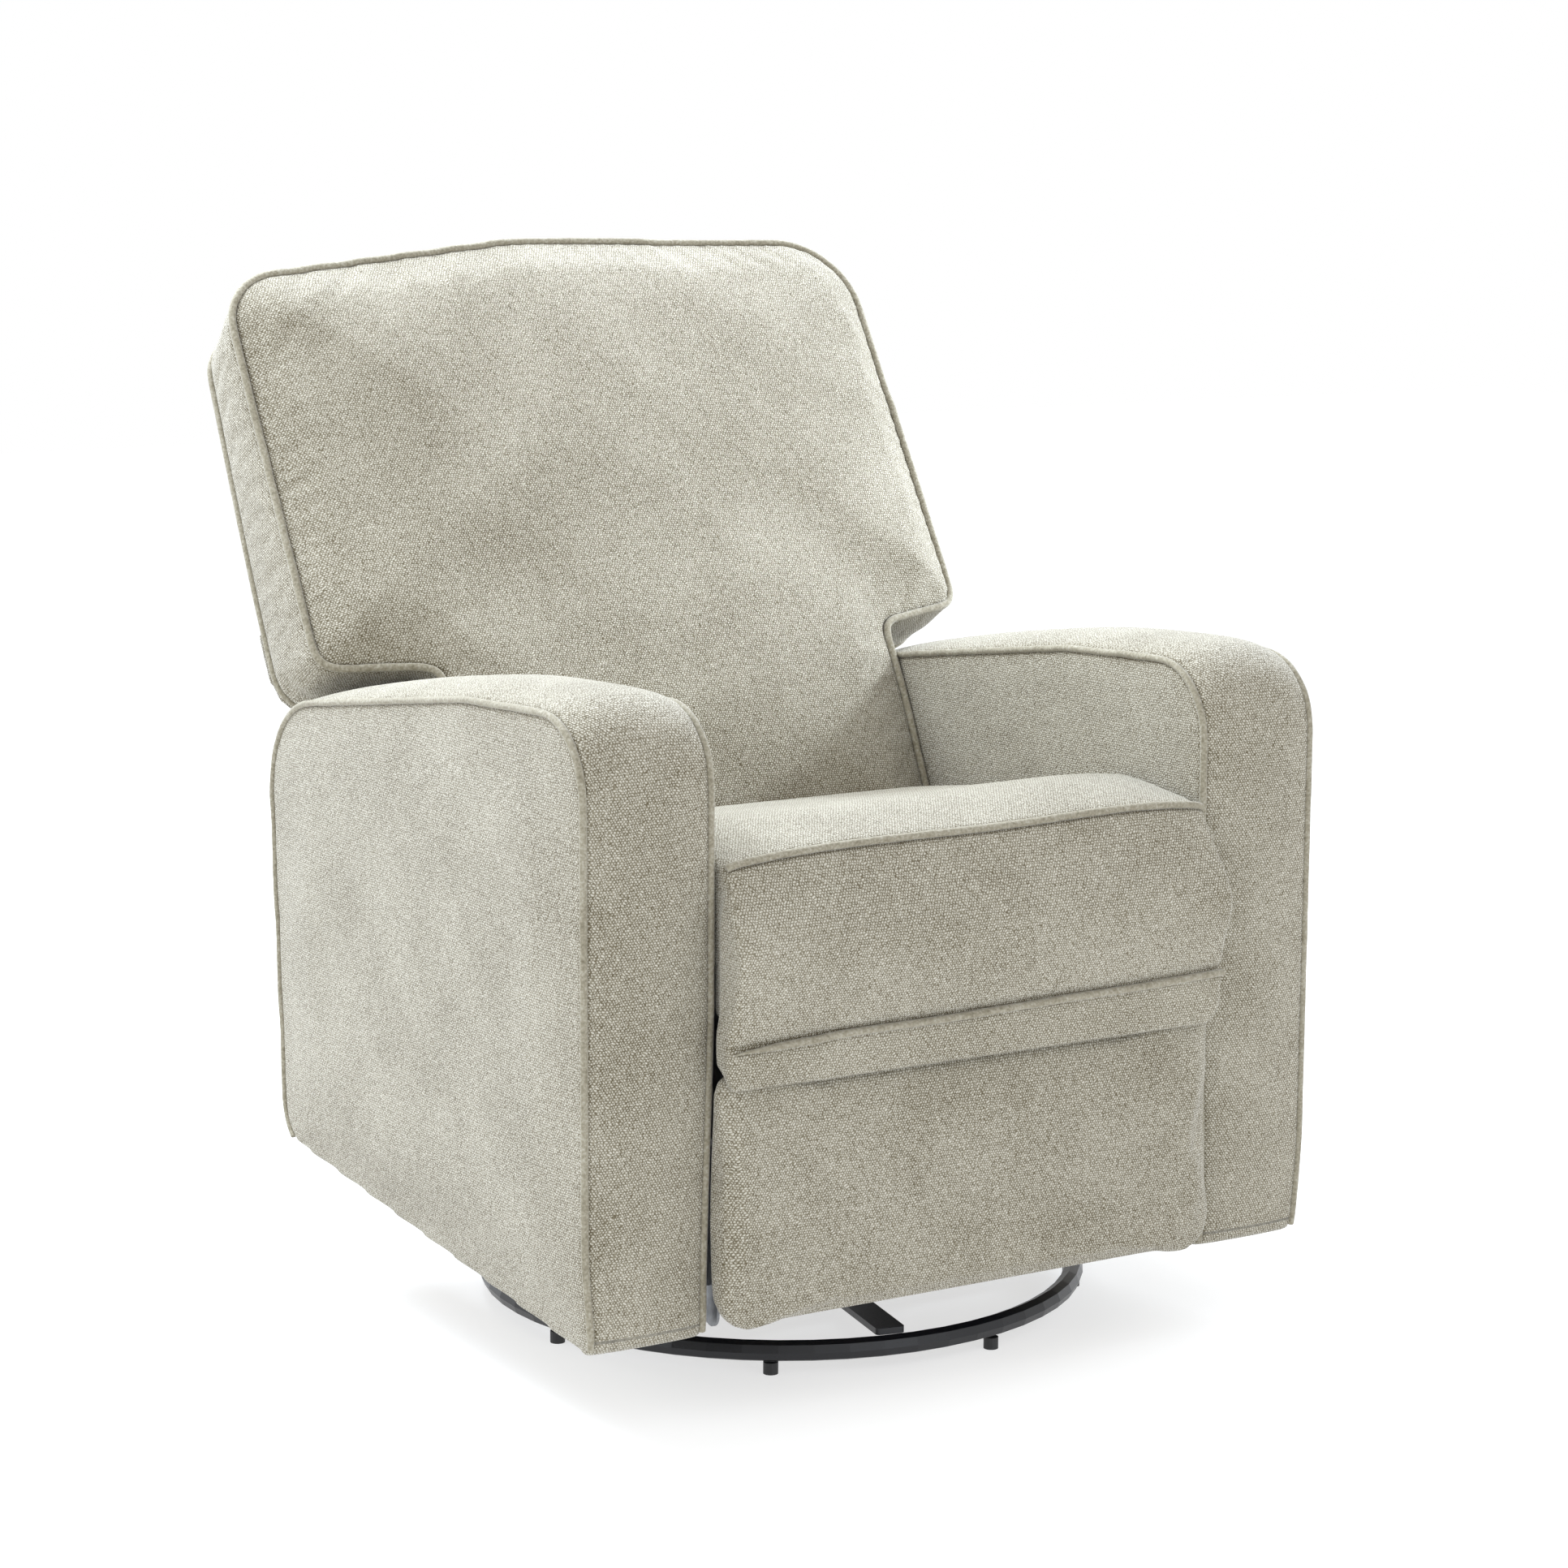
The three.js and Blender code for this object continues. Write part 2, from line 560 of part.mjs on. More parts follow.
function addBack() {
  const back = new THREE.Group();
  back.position.set(0, BACK_HINGE_Y, BACK_HINGE_Z);
  back.rotation.x = -radians(BACK_LEAN);
  chair.add(back);

  const body = slabY(backOutline(0, BACK_BOTTOM_S), [BACK_FRONT_T, BACK_FRAME_REAR_T]);
  const crownShape = backOutline(BACK_CROWN, BACK_BOTTOM_S);
  const crown = new THREE.ExtrudeGeometry(crownShape, {
    depth: 1, curveSegments: 5, bevelThickness: BACK_CROWN, bevelSize: BACK_CROWN, bevelSegments: 3,
  });
  crown.rotateX(Math.PI / 2).translate(0, BACK_FRONT_T, 0);
  const clearance = 1;
  const pocketY = [BACK_FRAME_FRONT_T - clearance / 2, BACK_FRAME_REAR_T + 10];
  const lowerPocket = box([-270, 270], pocketY, [-80, BACK_NOTCH_S - 12]);
  const middleHalf = POST_OUTER_X + 12;
  const middlePocket = box([-middleHalf, middleHalf], pocketY, [-80, BACK_BOARD_BOTTOM_S + 20]);
  const upperHalf = BACK_BOARD_HALF + clearance;
  const upperPocket = box(
    [-upperHalf, upperHalf], pocketY, [BACK_BOARD_BOTTOM_S - clearance, BACK_BOARD_TOP_S + clearance]);
  const cushion = cut(join(body, crown), lowerPocket, middlePocket, upperPocket);
  addPart(back, "back_cushion", cushion, "fabric");

  const frameY = [BACK_FRAME_FRONT_T, BACK_FRAME_REAR_T];
  for (const [name, side] of Object.entries(SIDES)) {
    const postSpan = layer(side, POST_INNER_X, POST_OUTER_X);
    const post = box(postSpan, frameY, [POST_BOTTOM_S, BACK_BOARD_BOTTOM_S - GAP]);
    addPart(back, `back_post_${name}`, post, "wood");
    const bracketShape = roundedShape([
      [-12, -14, 10], [12, -14, 10], [13, 120, 4], [-6, 120, 4], [-6, 17, 2], [-12, 13, 2],
    ]);
    bracketShape.holes.push(circle(0, 0, PIN_RADIUS + PIN_CLEARANCE));
    const bracketSpan = layer(side, BACK_BRACKET_X, BACK_BRACKET_X + BACK_BRACKET_PLATE);
    addPart(back, `back_hinge_bracket_${name}`, slabX(bracketShape, bracketSpan, 0, 6), "mechanismSteel");
  }
  const railHalf = POST_INNER_X - GAP;
  const bottomRail = box([-railHalf, railHalf], frameY, [POST_BOTTOM_S, POST_BOTTOM_S + BACK_RAIL_HEIGHT]);
  addPart(back, "back_bottom_rail", bottomRail, "wood");
  const boardOutline = rectangle(
    -BACK_BOARD_HALF, BACK_BOARD_BOTTOM_S, BACK_BOARD_HALF, BACK_BOARD_TOP_S, BACK_BOARD_CORNER);
  const board = slabY(boardOutline, frameY);
  addPart(back, "back_top_board", board, "wood");
  const outer = slabY(outerBackOutline(), [OUTER_BACK_FRONT_T, OUTER_BACK_REAR_T], 7);
  addPart(back, "outer_back", outer, "fabric");
}

// ---- Leg rest -----------------------------------------------------------------------------------

function addLegRest() {
  const knee = reach(DRIVE_PIVOT, DRIVE_LENGTH, DRIVE_ANGLE);
  const panelPivot = reach(knee, TONG_LENGTH, TONG_ANGLE);
  const tail = reach(knee, -TONG_TAIL, TONG_ANGLE);
  for (const [name, side] of Object.entries(SIDES)) {
    const drive = slabX(
      barShape(DRIVE_PIVOT, knee, LINK_RADIUS, [DRIVE_PIVOT]),
      layer(side, DRIVE_X, DRIVE_X + LINK_PLATE), 0, 6);
    const kneePin = barX(knee, PIN_RADIUS, layer(side, TONG_X - 1, DRIVE_X + 1));
    addPart(chair, `legrest_drive_link_${name}`, join(drive, kneePin), "mechanismSteel");
    const tong = slabX(
      barShape(tail, panelPivot, LINK_RADIUS, [knee]), layer(side, TONG_X, TONG_X + LINK_PLATE), 0, 6);
    const panelPin = barX(panelPivot, PIN_RADIUS, layer(side, PANEL_BRACKET_X - 1, TONG_X + 1));
    addPart(chair, `legrest_tong_link_${name}`, join(tong, panelPin), "mechanismSteel");
    const control = slabX(
      barShape(CONTROL_PIVOT, tail, LINK_RADIUS - 2, [CONTROL_PIVOT]),
      layer(side, CONTROL_X, CONTROL_X + LINK_PLATE), 0, 6);
    addPart(chair, `legrest_control_link_${name}`, control, "mechanismSteel");
    const bracketShape = roundedShape([
      [panelPivot[0] + LINK_RADIUS, panelPivot[1] - LINK_RADIUS, 10],
      [panelPivot[0] + LINK_RADIUS, panelPivot[1] + LINK_RADIUS, 10],
      [PANEL_BACK_Y + GAP, panelPivot[1] + 22, 4], [PANEL_BACK_Y + GAP, panelPivot[1] - 60, 4],
    ]);
    bracketShape.holes.push(circle(panelPivot[0], panelPivot[1], PIN_RADIUS + PIN_CLEARANCE));
    const bracket = slabX(bracketShape, layer(side, PANEL_BRACKET_X, PANEL_BRACKET_X + LINK_PLATE), 0, 6);
    addPart(chair, `legrest_panel_bracket_${name}`, bracket, "mechanismSteel");
  }
  const tubeHalf = DRIVE_X - 2 * GAP - 1;
  const driveTube = barX(DRIVE_PIVOT, DRIVE_TUBE_RADIUS, [-tubeHalf, tubeHalf]);
  addPart(chair, "legrest_drive_tube", driveTube, "mechanismSteel");
  const board = rectangle(
    -BOARD_HALF_WIDTH, PANEL_BOTTOM_Z + 12, BOARD_HALF_WIDTH, PANEL_TOP_Z - 8, 12);
  addPart(chair, "legrest_board", slabY(board, [PANEL_BOARD_Y + GAP, PANEL_BACK_Y]), "wood");
  const pad = mirrored([
    [PANEL_HALF_WIDTH, PANEL_BOTTOM_Z, PANEL_CORNER], [PANEL_HALF_WIDTH, PANEL_TOP_Z, 8],
  ]);
  addPart(chair, "legrest_pad", slabY(pad, [PANEL_FRONT_Y, PANEL_BOARD_Y], 6), "fabric");
}

addBase();
addBearing();
addTurntable();
addGlideLinks();
addGlideRails();
addCrossTubes();
addSidePlates();
addArmSpacers();
addArms();
addSeatFrame();
addSprings();
addSeatCushion();
addBack();
addLegRest();

export default chair;
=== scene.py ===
# %% [markdown]
# # A swivel glider armchair in woven upholstery
# The steel and wood parts come from the imported design and keep their shape. This script sews the soft parts
# round them: a T-shaped back, two track arms, a seat with a front roll, and a leg-rest pad. Each soft part is
# a closed form that is swollen by a short cloth simulation; all but the leg-rest pad are also tucked at their
# seams and edged with piping.

# %% Load the frame
import json
import math

import bmesh
import bpy
import numpy as np
from mathutils import Matrix, Vector
from mathutils.bvhtree import BVHTree
from mathutils.kdtree import KDTree


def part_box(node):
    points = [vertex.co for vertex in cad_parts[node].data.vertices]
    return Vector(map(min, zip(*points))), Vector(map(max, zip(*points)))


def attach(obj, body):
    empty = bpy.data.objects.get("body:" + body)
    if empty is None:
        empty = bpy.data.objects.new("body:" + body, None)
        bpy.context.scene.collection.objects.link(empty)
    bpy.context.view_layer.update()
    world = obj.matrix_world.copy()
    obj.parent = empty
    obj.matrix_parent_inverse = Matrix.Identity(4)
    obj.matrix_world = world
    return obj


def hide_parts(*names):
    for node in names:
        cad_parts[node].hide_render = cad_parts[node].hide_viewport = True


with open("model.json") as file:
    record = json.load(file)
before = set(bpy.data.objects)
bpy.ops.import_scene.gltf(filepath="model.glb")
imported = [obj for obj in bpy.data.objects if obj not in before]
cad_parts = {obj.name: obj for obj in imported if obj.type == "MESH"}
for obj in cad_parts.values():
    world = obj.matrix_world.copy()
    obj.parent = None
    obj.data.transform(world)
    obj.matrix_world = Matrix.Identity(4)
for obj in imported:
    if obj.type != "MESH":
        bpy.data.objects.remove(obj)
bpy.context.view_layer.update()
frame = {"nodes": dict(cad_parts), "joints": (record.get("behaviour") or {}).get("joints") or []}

JOINTS = {joint["name"]: joint for joint in frame["joints"]}
MM = 0.001

# %% [markdown]
# ## Camera and light
# A chair for a catalogue stands on white. A large soft light high behind it makes the tops of the cushions
# glow, one on each side brightens the arms, a small one low in front opens the shadows, and the white room
# fills the rest. One narrow spot lights the turned edge of the back above the occupant's left arm. A long
# lens from a few metres away keeps the sides nearly parallel.

# %% The camera
SWIVEL_Y = JOINTS["swivel"]["pos_m"][1]
CAMERA_PLACE = Vector((-1.9652, SWIVEL_Y - 3.1830, 1.1396))
CAMERA_TARGET = Vector((0.0011, SWIVEL_Y, 0.4944))
CAMERA_ROLL = math.radians(0.241)
LENS_MM = 90.88
SENSOR_MM = 36.0


def look_at(place, target, roll):
    forward = (target - place).normalized()
    right = forward.cross(Vector((0, 0, 1))).normalized()
    up = right.cross(forward)
    turned_right = right * math.cos(roll) + up * math.sin(roll)
    turned_up = up * math.cos(roll) - right * math.sin(roll)
    turn = Matrix((turned_right, turned_up, -forward)).transposed().to_4x4()
    return Matrix.Translation(place) @ turn


scene = bpy.context.scene
camera_data = bpy.data.cameras.new("camera")
camera_data.lens = LENS_MM
camera_data.sensor_width = SENSOR_MM
camera = bpy.data.objects.new("camera", camera_data)
camera.matrix_world = look_at(CAMERA_PLACE, CAMERA_TARGET, CAMERA_ROLL)
scene.collection.objects.link(camera)
scene.camera = camera
scene.view_settings.view_transform = "Standard"
print("camera distance", round((CAMERA_TARGET - CAMERA_PLACE).length, 3), "m")

# %% The lights
LIGHT_COLOUR = (0.84, 0.92, 1.0)


def softbox(name, place, size, power, target=(0, 0, 0.5)):
    data = bpy.data.lights.new(name, "AREA")
    data.shape = "SQUARE"
    data.size = size
    data.energy = power
    data.color = LIGHT_COLOUR
    light = bpy.data.objects.new(name, data)
    light.matrix_world = look_at(Vector(place), Vector(target), 0)
    scene.collection.objects.link(light)


world = bpy.data.worlds.new("white_studio")
world.use_nodes = True
world.node_tree.nodes["Background"].inputs["Color"].default_value = (1, 1, 1, 1)
world.node_tree.nodes["Background"].inputs["Strength"].default_value = 1.0
scene.world = world
softbox("top_light", (-0.6, 1.7, 3.0), 2.2, 226)
softbox("left_light", (-3.4, 0.0, 1.5), 2.0, 34)
softbox("right_light", (3.4, 0.5, 1.7), 1.6, 105)
softbox("front_light", (0.4, -3.4, 0.3), 1.4, 22)
edge_light = bpy.data.lights.new("edge_light", "SPOT")
edge_light.energy = 400
edge_light.spot_size = math.radians(21)
edge_light.spot_blend = 1.0
edge_light.shadow_soft_size = 0.25
edge_light.color = LIGHT_COLOUR
edge_lamp = bpy.data.objects.new("edge_light", edge_light)
edge_lamp.matrix_world = look_at(Vector((2.6, -0.3, 2.2)), Vector((0.34, 0.22, 0.75)), 0)
scene.collection.objects.link(edge_lamp)
print("lights", [light.name for light in bpy.data.lights])


# %% [markdown]
# ## Small helpers
# Every colour is written as a hex value, as on a paint card, and turned to linear light by one function. One
# function adds a shader or geometry node with its settings and links.

# %% Colours and nodes


def linear(hex_colour, alpha=1.0):
    channels = [int(hex_colour[i:i + 2], 16) / 255 for i in (1, 3, 5)]
    return tuple(c / 12.92 if c <= 0.04045 else ((c + 0.055) / 1.055) ** 2.4 for c in channels) + (alpha,)


def add_node(tree, kind, inputs=None, **settings):
    """Adds a node. inputs maps a socket name or number to a value, or to the output socket that feeds it."""
    node = tree.nodes.new(kind)
    for key, value in settings.items():
        setattr(node, key, value)
    for key, value in (inputs or {}).items():
        if isinstance(value, bpy.types.NodeSocket):
            tree.links.new(value, node.inputs[key])
        else:
            node.inputs[key].default_value = value
    return node


def new_material(name):
    material = bpy.data.materials.new(name)
    material.use_nodes = True
    tree = material.node_tree
    return material, tree, tree.nodes["Principled BSDF"]


def ramp(tree, factor, stops):
    """A colour ramp through (position, hex colour) stops."""
    node = add_node(tree, "ShaderNodeValToRGB", {0: factor})
    elements = node.color_ramp.elements
    while len(elements) < len(stops):
        elements.new(0.5)
    for element, (position, colour) in zip(elements, stops):
        element.position = position
        element.color = linear(colour)
    return node.outputs[0]


def maths(tree, operation, a, b=0.0, c=0.0):
    return add_node(tree, "ShaderNodeMath", {0: a, 1: b, 2: c}, operation=operation).outputs[0]


# %% [markdown]
# ## The cloth
# The real cover is a soft polyester chenille: short brushed loops, woven in fine staggered rows, heathered
# from three close shades of sand. Close to, it is a pebbled grain a couple of millimetres across. From
# further off the nap has been stroked one way here and another there, which leaves pale and dark clouds.
# The pattern follows a UV map in metres, one flat panel of cloth for each side of a cushion.

# %% Woven chenille upholstery
LOOP_MM = 2.8  # drawn a little coarser than the yarn, so that the grain still shows across a room
ROW_MM = 2.2
WEAVE_MEAN = 0.32  # the average height of the woven loops, from 0 to 1
FIBRE_SHARE = 0.9
HEATHER_SHARE = 0.4
CLOUD_SHARE = 0.34
# how much the cloth is painted darker beside its seams, as painted shade in the creases
CREASE_SHADE = 0.34


def woven_cloth(name, light, middle, dark, weave_share, bump_mm):
    material, tree, shader = new_material(name)
    uv = add_node(tree, "ShaderNodeUVMap", uv_map="panel").outputs[0]
    place = add_node(tree, "ShaderNodeTexCoord").outputs["Object"]
    split = add_node(tree, "ShaderNodeSeparateXYZ", {0: uv})
    wander = add_node(tree, "ShaderNodeTexNoise", {"Vector": place, "Scale": 70.0, "Detail": 2.0}).outputs[0]
    slub = add_node(tree, "ShaderNodeTexNoise", {"Vector": place, "Scale": 260.0, "Detail": 1.0}).outputs[0]
    drift = maths(tree, "MULTIPLY_ADD", slub, 1.5, maths(tree, "MULTIPLY", wander, 1.8))
    along = maths(tree, "MULTIPLY_ADD", split.outputs[0], 1000 / LOOP_MM, drift)
    sway = maths(tree, "MULTIPLY_ADD", slub, 1.1, maths(tree, "MULTIPLY", wander, 1.0))
    across = maths(tree, "MULTIPLY_ADD", split.outputs[1], 1000 / ROW_MM, sway)
    row = maths(tree, "FLOOR", across)
    staggered = maths(tree, "MULTIPLY_ADD", row, math.pi, maths(tree, "MULTIPLY", along, 2 * math.pi))
    loop = maths(tree, "MULTIPLY_ADD", maths(tree, "SINE", staggered), 0.5, 0.5)
    crown = maths(tree, "ABSOLUTE", maths(tree, "SINE", maths(tree, "MULTIPLY", across, math.pi)))
    weave = maths(tree, "MULTIPLY", loop, crown)
    fibres = add_node(tree, "ShaderNodeTexNoise", {"Vector": place, "Scale": 420.0, "Detail": 2.0}).outputs[0]
    heather = add_node(
        tree, "ShaderNodeTexNoise", {"Vector": place, "Scale": 170.0, "Detail": 3.0, "Roughness": 0.6}).outputs[0]
    clouds = add_node(
        tree, "ShaderNodeTexNoise", {"Vector": place, "Scale": 10.0, "Detail": 2.0, "Roughness": 0.5}).outputs[0]
    level = 0.5 - WEAVE_MEAN * weave_share - 0.5 * (FIBRE_SHARE + HEATHER_SHARE + CLOUD_SHARE)
    tone = maths(tree, "MULTIPLY_ADD", weave, weave_share, level)
    tone = maths(tree, "MULTIPLY_ADD", fibres, FIBRE_SHARE, tone)
    tone = maths(tree, "MULTIPLY_ADD", heather, HEATHER_SHARE, tone)
    tone = maths(tree, "MULTIPLY_ADD", clouds, CLOUD_SHARE, tone)
    # Beside each seam the cloth is painted darker: painted shade standing in for the shadow in the crease.
    painted_seam_shade = add_node(tree, "ShaderNodeAttribute", attribute_name="painted_seam_shade").outputs["Fac"]
    tone = maths(tree, "MULTIPLY_ADD", painted_seam_shade, -CREASE_SHADE, tone)
    colour = ramp(tree, tone, [(0.08, dark), (0.5, middle), (0.95, light)])
    height = maths(tree, "MULTIPLY_ADD", weave, weave_share, maths(tree, "MULTIPLY", fibres, 0.6))
    bump = add_node(tree, "ShaderNodeBump", {"Height": height, "Strength": 0.8, "Distance": bump_mm * MM})
    tree.links.new(colour, shader.inputs["Base Color"])
    tree.links.new(bump.outputs[0], shader.inputs["Normal"])
    shader.inputs["Roughness"].default_value = 0.94
    shader.inputs["Specular IOR Level"].default_value = 0.2
    shader.inputs["Sheen Weight"].default_value = 0.3
    shader.inputs["Sheen Roughness"].default_value = 0.5
    shader.inputs["Sheen Tint"].default_value = linear("#F1F2F4")
    return material


chenille = woven_cloth("woven_chenille_upholstery", "#C8C4B8", "#96907F", "#5C533F", 0.8, 0.7)
bias_piping = woven_cloth("bias_cut_chenille_piping", "#BDB9AC", "#918B7A", "#5F5743", 0.0, 0.4)
print("cloth grain", LOOP_MM, "x", ROW_MM, "mm")

# %% Steel, wood and nylon


def plain_finish(name, colours, metallic, roughness, scale, stretch, bump_mm):
    """A finish with one noise pattern: colours are its dark and light, scale is in features a metre."""
    material, tree, shader = new_material(name)
    place = add_node(tree, "ShaderNodeTexCoord").outputs["Object"]
    turned = add_node(tree, "ShaderNodeMapping", {"Vector": place, "Scale": stretch}).outputs[0]
    pattern = add_node(tree, "ShaderNodeTexNoise", {"Vector": turned, "Scale": scale, "Detail": 4.0}).outputs[0]
    colour = ramp(tree, pattern, [(0.35, colours[0]), (0.65, colours[1])])
    rough = maths(tree, "MULTIPLY_ADD", pattern, 0.24, roughness - 0.12)
    bump = add_node(tree, "ShaderNodeBump", {"Height": pattern, "Strength": 0.6, "Distance": bump_mm * MM})
    tree.links.new(colour, shader.inputs["Base Color"])
    tree.links.new(rough, shader.inputs["Roughness"])
    tree.links.new(bump.outputs[0], shader.inputs["Normal"])
    shader.inputs["Metallic"].default_value = metallic
    return material


ALL_WAYS = (1, 1, 1)
ALONG_Z = (1, 1, 0.06)
FINISHES = {
    # A baked polyester powder leaves a fine orange peel, about two millimetres across, and a satin gloss.
    "powder_coated_steel": plain_finish(
        "satin_black_powder_coat", ("#090A0F", "#0E1017"), 0.0, 0.33, 500.0, ALL_WAYS, 0.08),
    # Bright zinc on stamped steel is a soft grey metal, faintly clouded by its passivation.
    "mechanism_steel": plain_finish(
        "zinc_plated_stamped_steel", ("#77797C", "#9A9C9F"), 0.9, 0.42, 90.0, ALL_WAYS, 0.03),
    # Spring wire is drawn through a die and tempered in oil, so it is dark and scored along its length.
    "spring_steel": plain_finish(
        "oil_tempered_spring_wire", ("#2E2B28", "#46423D"), 0.85, 0.38, 260.0, ALL_WAYS, 0.04),
    # Beech plywood is pale brown, with short dark flecks that run with the grain.
    "frame_wood": plain_finish(
        "beech_plywood", ("#9C7A50", "#C6A273"), 0.0, 0.62, 210.0, ALONG_Z, 0.15),
    # Moulded nylon glides are black and finely matt.
    "glide_foot": plain_finish(
        "moulded_black_nylon", ("#141415", "#1D1D1E"), 0.0, 0.5, 700.0, ALL_WAYS, 0.03)}
for node in frame["nodes"].values():
    for material_slot in node.material_slots:
        base_name = material_slot.material.name.split(".")[0]
        if base_name in FINISHES:
            material_slot.material = FINISHES[base_name]
print("finishes", sorted(FINISHES))

# %% [markdown]
# ## Shaping tools for soft parts
# A soft part starts as a slab: a flat outline with rounded corners, given a thickness. A voxel remesh turns
# the slab into even quads, because cloth needs even quads to crease in any direction. The Cloth modifier
# then blows it up a little with its seam lines pinned, as foam fills a sewn cover, and numpy formulas add
# what a stuffer's hands do: the crown, the tucks at the corners and the puckers along a seam.

# %% Outlines and slabs


def smooth(value):
    value = np.clip(value, 0.0, 1.0)
    return value * value * (3 - 2 * value)


def rounded_outline(corners, step=6 * MM):
    """(a, b, radius) corners to evenly spaced points, with a true arc at each corner."""
    points = []
    count = len(corners)
    for i in range(count):
        corner = np.array(corners[i][:2])
        before = np.array(corners[i - 1][:2]) - corner
        after = np.array(corners[(i + 1) % count][:2]) - corner
        before, after = before / np.linalg.norm(before), after / np.linalg.norm(after)
        radius = corners[i][2]
        half = math.acos(np.clip(before @ after, -1, 1)) / 2
        setback = radius / math.tan(half)
        inward = (before + after) / np.linalg.norm(before + after)
        centre = corner + inward * radius / math.sin(half)
        start, end = corner + before * setback - centre, corner + after * setback - centre
        first = math.atan2(start[1], start[0])
        sweep = (math.atan2(end[1], end[0]) - first + math.pi) % (2 * math.pi) - math.pi
        arc_steps = max(int(abs(sweep) * radius / step), 2)
        angles = first + sweep * np.linspace(0, 1, arc_steps + 1)
        points.extend(centre + radius * np.stack([np.cos(angles), np.sin(angles)], axis=1))
    return resample(np.array(points), step, closed=True)


def resample(points, step, closed=False):
    """Evenly spaced points along a polyline of any dimension."""
    if closed:
        points = np.vstack([points, points[:1]])
    lengths = np.linalg.norm(np.diff(points, axis=0), axis=1)
    travel = np.concatenate([[0], np.cumsum(lengths)])
    count = max(int(travel[-1] / step), 2)
    marks = np.linspace(0, travel[-1], count + 1)
    if closed:
        marks = marks[:-1]
    return np.stack([np.interp(marks, travel, points[:, k]) for k in range(points.shape[1])], axis=1)


def mirrored(right_half):
    return right_half + [(-a, b, radius) for a, b, radius in reversed(right_half)]


def new_object(name, vertices, faces):
    mesh = bpy.data.meshes.new(name)
    mesh.from_pydata([tuple(v) for v in vertices], [], faces)
    obj = bpy.data.objects.new(name, mesh)
    scene.collection.objects.link(obj)
    return obj


def slab(name, outline, low, high, axes):
    """A closed slab. axes says where outline a, outline b and thickness go, such as (1, 2, 0)."""
    count = len(outline)
    vertices = np.zeros((2 * count, 3))
    for row, level in enumerate((low, high)):
        part = slice(row * count, (row + 1) * count)
        vertices[part, axes[0]] = outline[:, 0]
        vertices[part, axes[1]] = outline[:, 1]
        vertices[part, axes[2]] = level
    sides = [(i, (i + 1) % count, count + (i + 1) % count, count + i) for i in range(count)]
    caps = [tuple(reversed(range(count))), tuple(range(count, 2 * count))]
    obj = new_object(name, vertices, sides + caps)
    face_outwards(obj)
    return obj


def face_outwards(obj):
    work = bmesh.new()
    work.from_mesh(obj.data)
    bmesh.ops.triangulate(work, faces=[f for f in work.faces if len(f.verts) > 4])
    bmesh.ops.recalc_face_normals(work, faces=work.faces)
    work.to_mesh(obj.data)
    work.free()


# %% Modifiers, points and cloth


def bake_modifiers(obj):
    """Replaces the object's mesh by what its modifiers make of it."""
    depsgraph = bpy.context.evaluated_depsgraph_get()
    mesh = bpy.data.meshes.new_from_object(obj.evaluated_get(depsgraph))
    obj.modifiers.clear()
    obj.data = mesh


def get_points(obj):
    points = np.empty(len(obj.data.vertices) * 3)
    obj.data.vertices.foreach_get("co", points)
    return points.reshape(-1, 3)


def set_points(obj, points):
    obj.data.vertices.foreach_set("co", points.ravel())
    obj.data.update()


def remesh(obj, voxel):
    modifier = obj.modifiers.new("Remesh", "REMESH")
    modifier.mode = "VOXEL"
    modifier.voxel_size = voxel
    bake_modifiers(obj)


def soften(obj, rounds, factor=0.5, keep=None):
    """Laplacian smoothing with numpy, so that it is the same on every run. keep holds points back, 0 to 1."""
    points = get_points(obj)
    edges = np.empty(len(obj.data.edges) * 2, dtype=np.int64)
    obj.data.edges.foreach_get("vertices", edges)
    edges = edges.reshape(-1, 2)
    degree = np.bincount(edges.ravel(), minlength=len(points))[:, None]
    free = 1.0 if keep is None else (1 - keep)[:, None]
    for _ in range(rounds):
        total = np.zeros_like(points)
        np.add.at(total, edges[:, 0], points[edges[:, 1]])
        np.add.at(total, edges[:, 1], points[edges[:, 0]])
        points += (total / degree - points) * factor * free
    set_points(obj, points)


def nearest_distance(points, path):
    """Each point's distance to a path of points, and the index of the nearest path point."""
    tree = KDTree(len(path))
    for i, point in enumerate(path):
        tree.insert(point, i)
    tree.balance()
    found = [tree.find(point) for point in points]
    return np.array([f[2] for f in found]), np.array([f[1] for f in found])


def swell(obj, held, pressure, cap, spare=0.0, frames=20):
    """Cloth under pressure, pinned where held is true. spare is the extra cloth that makes it pucker."""
    start = get_points(obj)
    group = obj.vertex_groups.new(name="held")
    group.add([int(index) for index in np.nonzero(held)[0]], 1.0, "REPLACE")
    modifier = obj.modifiers.new("Cloth", "CLOTH")
    cloth = modifier.settings
    cloth.quality = 4
    cloth.mass = 0.25
    cloth.tension_stiffness = 12
    cloth.compression_stiffness = 12
    cloth.shear_stiffness = 6
    cloth.bending_stiffness = 0.4
    cloth.air_damping = 2
    cloth.use_pressure = True
    cloth.uniform_pressure_force = pressure
    cloth.shrink_min = -spare
    cloth.vertex_group_mass = "held"
    cloth.effector_weights.gravity = 0
    modifier.point_cache.frame_start = 1
    modifier.point_cache.frame_end = frames
    for number in range(1, frames + 1):
        scene.frame_set(number)
    bake_modifiers(obj)
    moved = get_points(obj) - start
    length = np.linalg.norm(moved, axis=1, keepdims=True)
    set_points(obj, start + moved * np.minimum(1, cap / np.maximum(length, 1e-9)))
    obj.vertex_groups.clear()
    scene.frame_set(1)
    print(obj.name, "swelled by up to", round(float(length.max()) / MM, 1), "mm, capped at", cap / MM)


def near(obj, seams, reach=8 * MM):
    return nearest_distance(get_points(obj), seams)[0] < reach


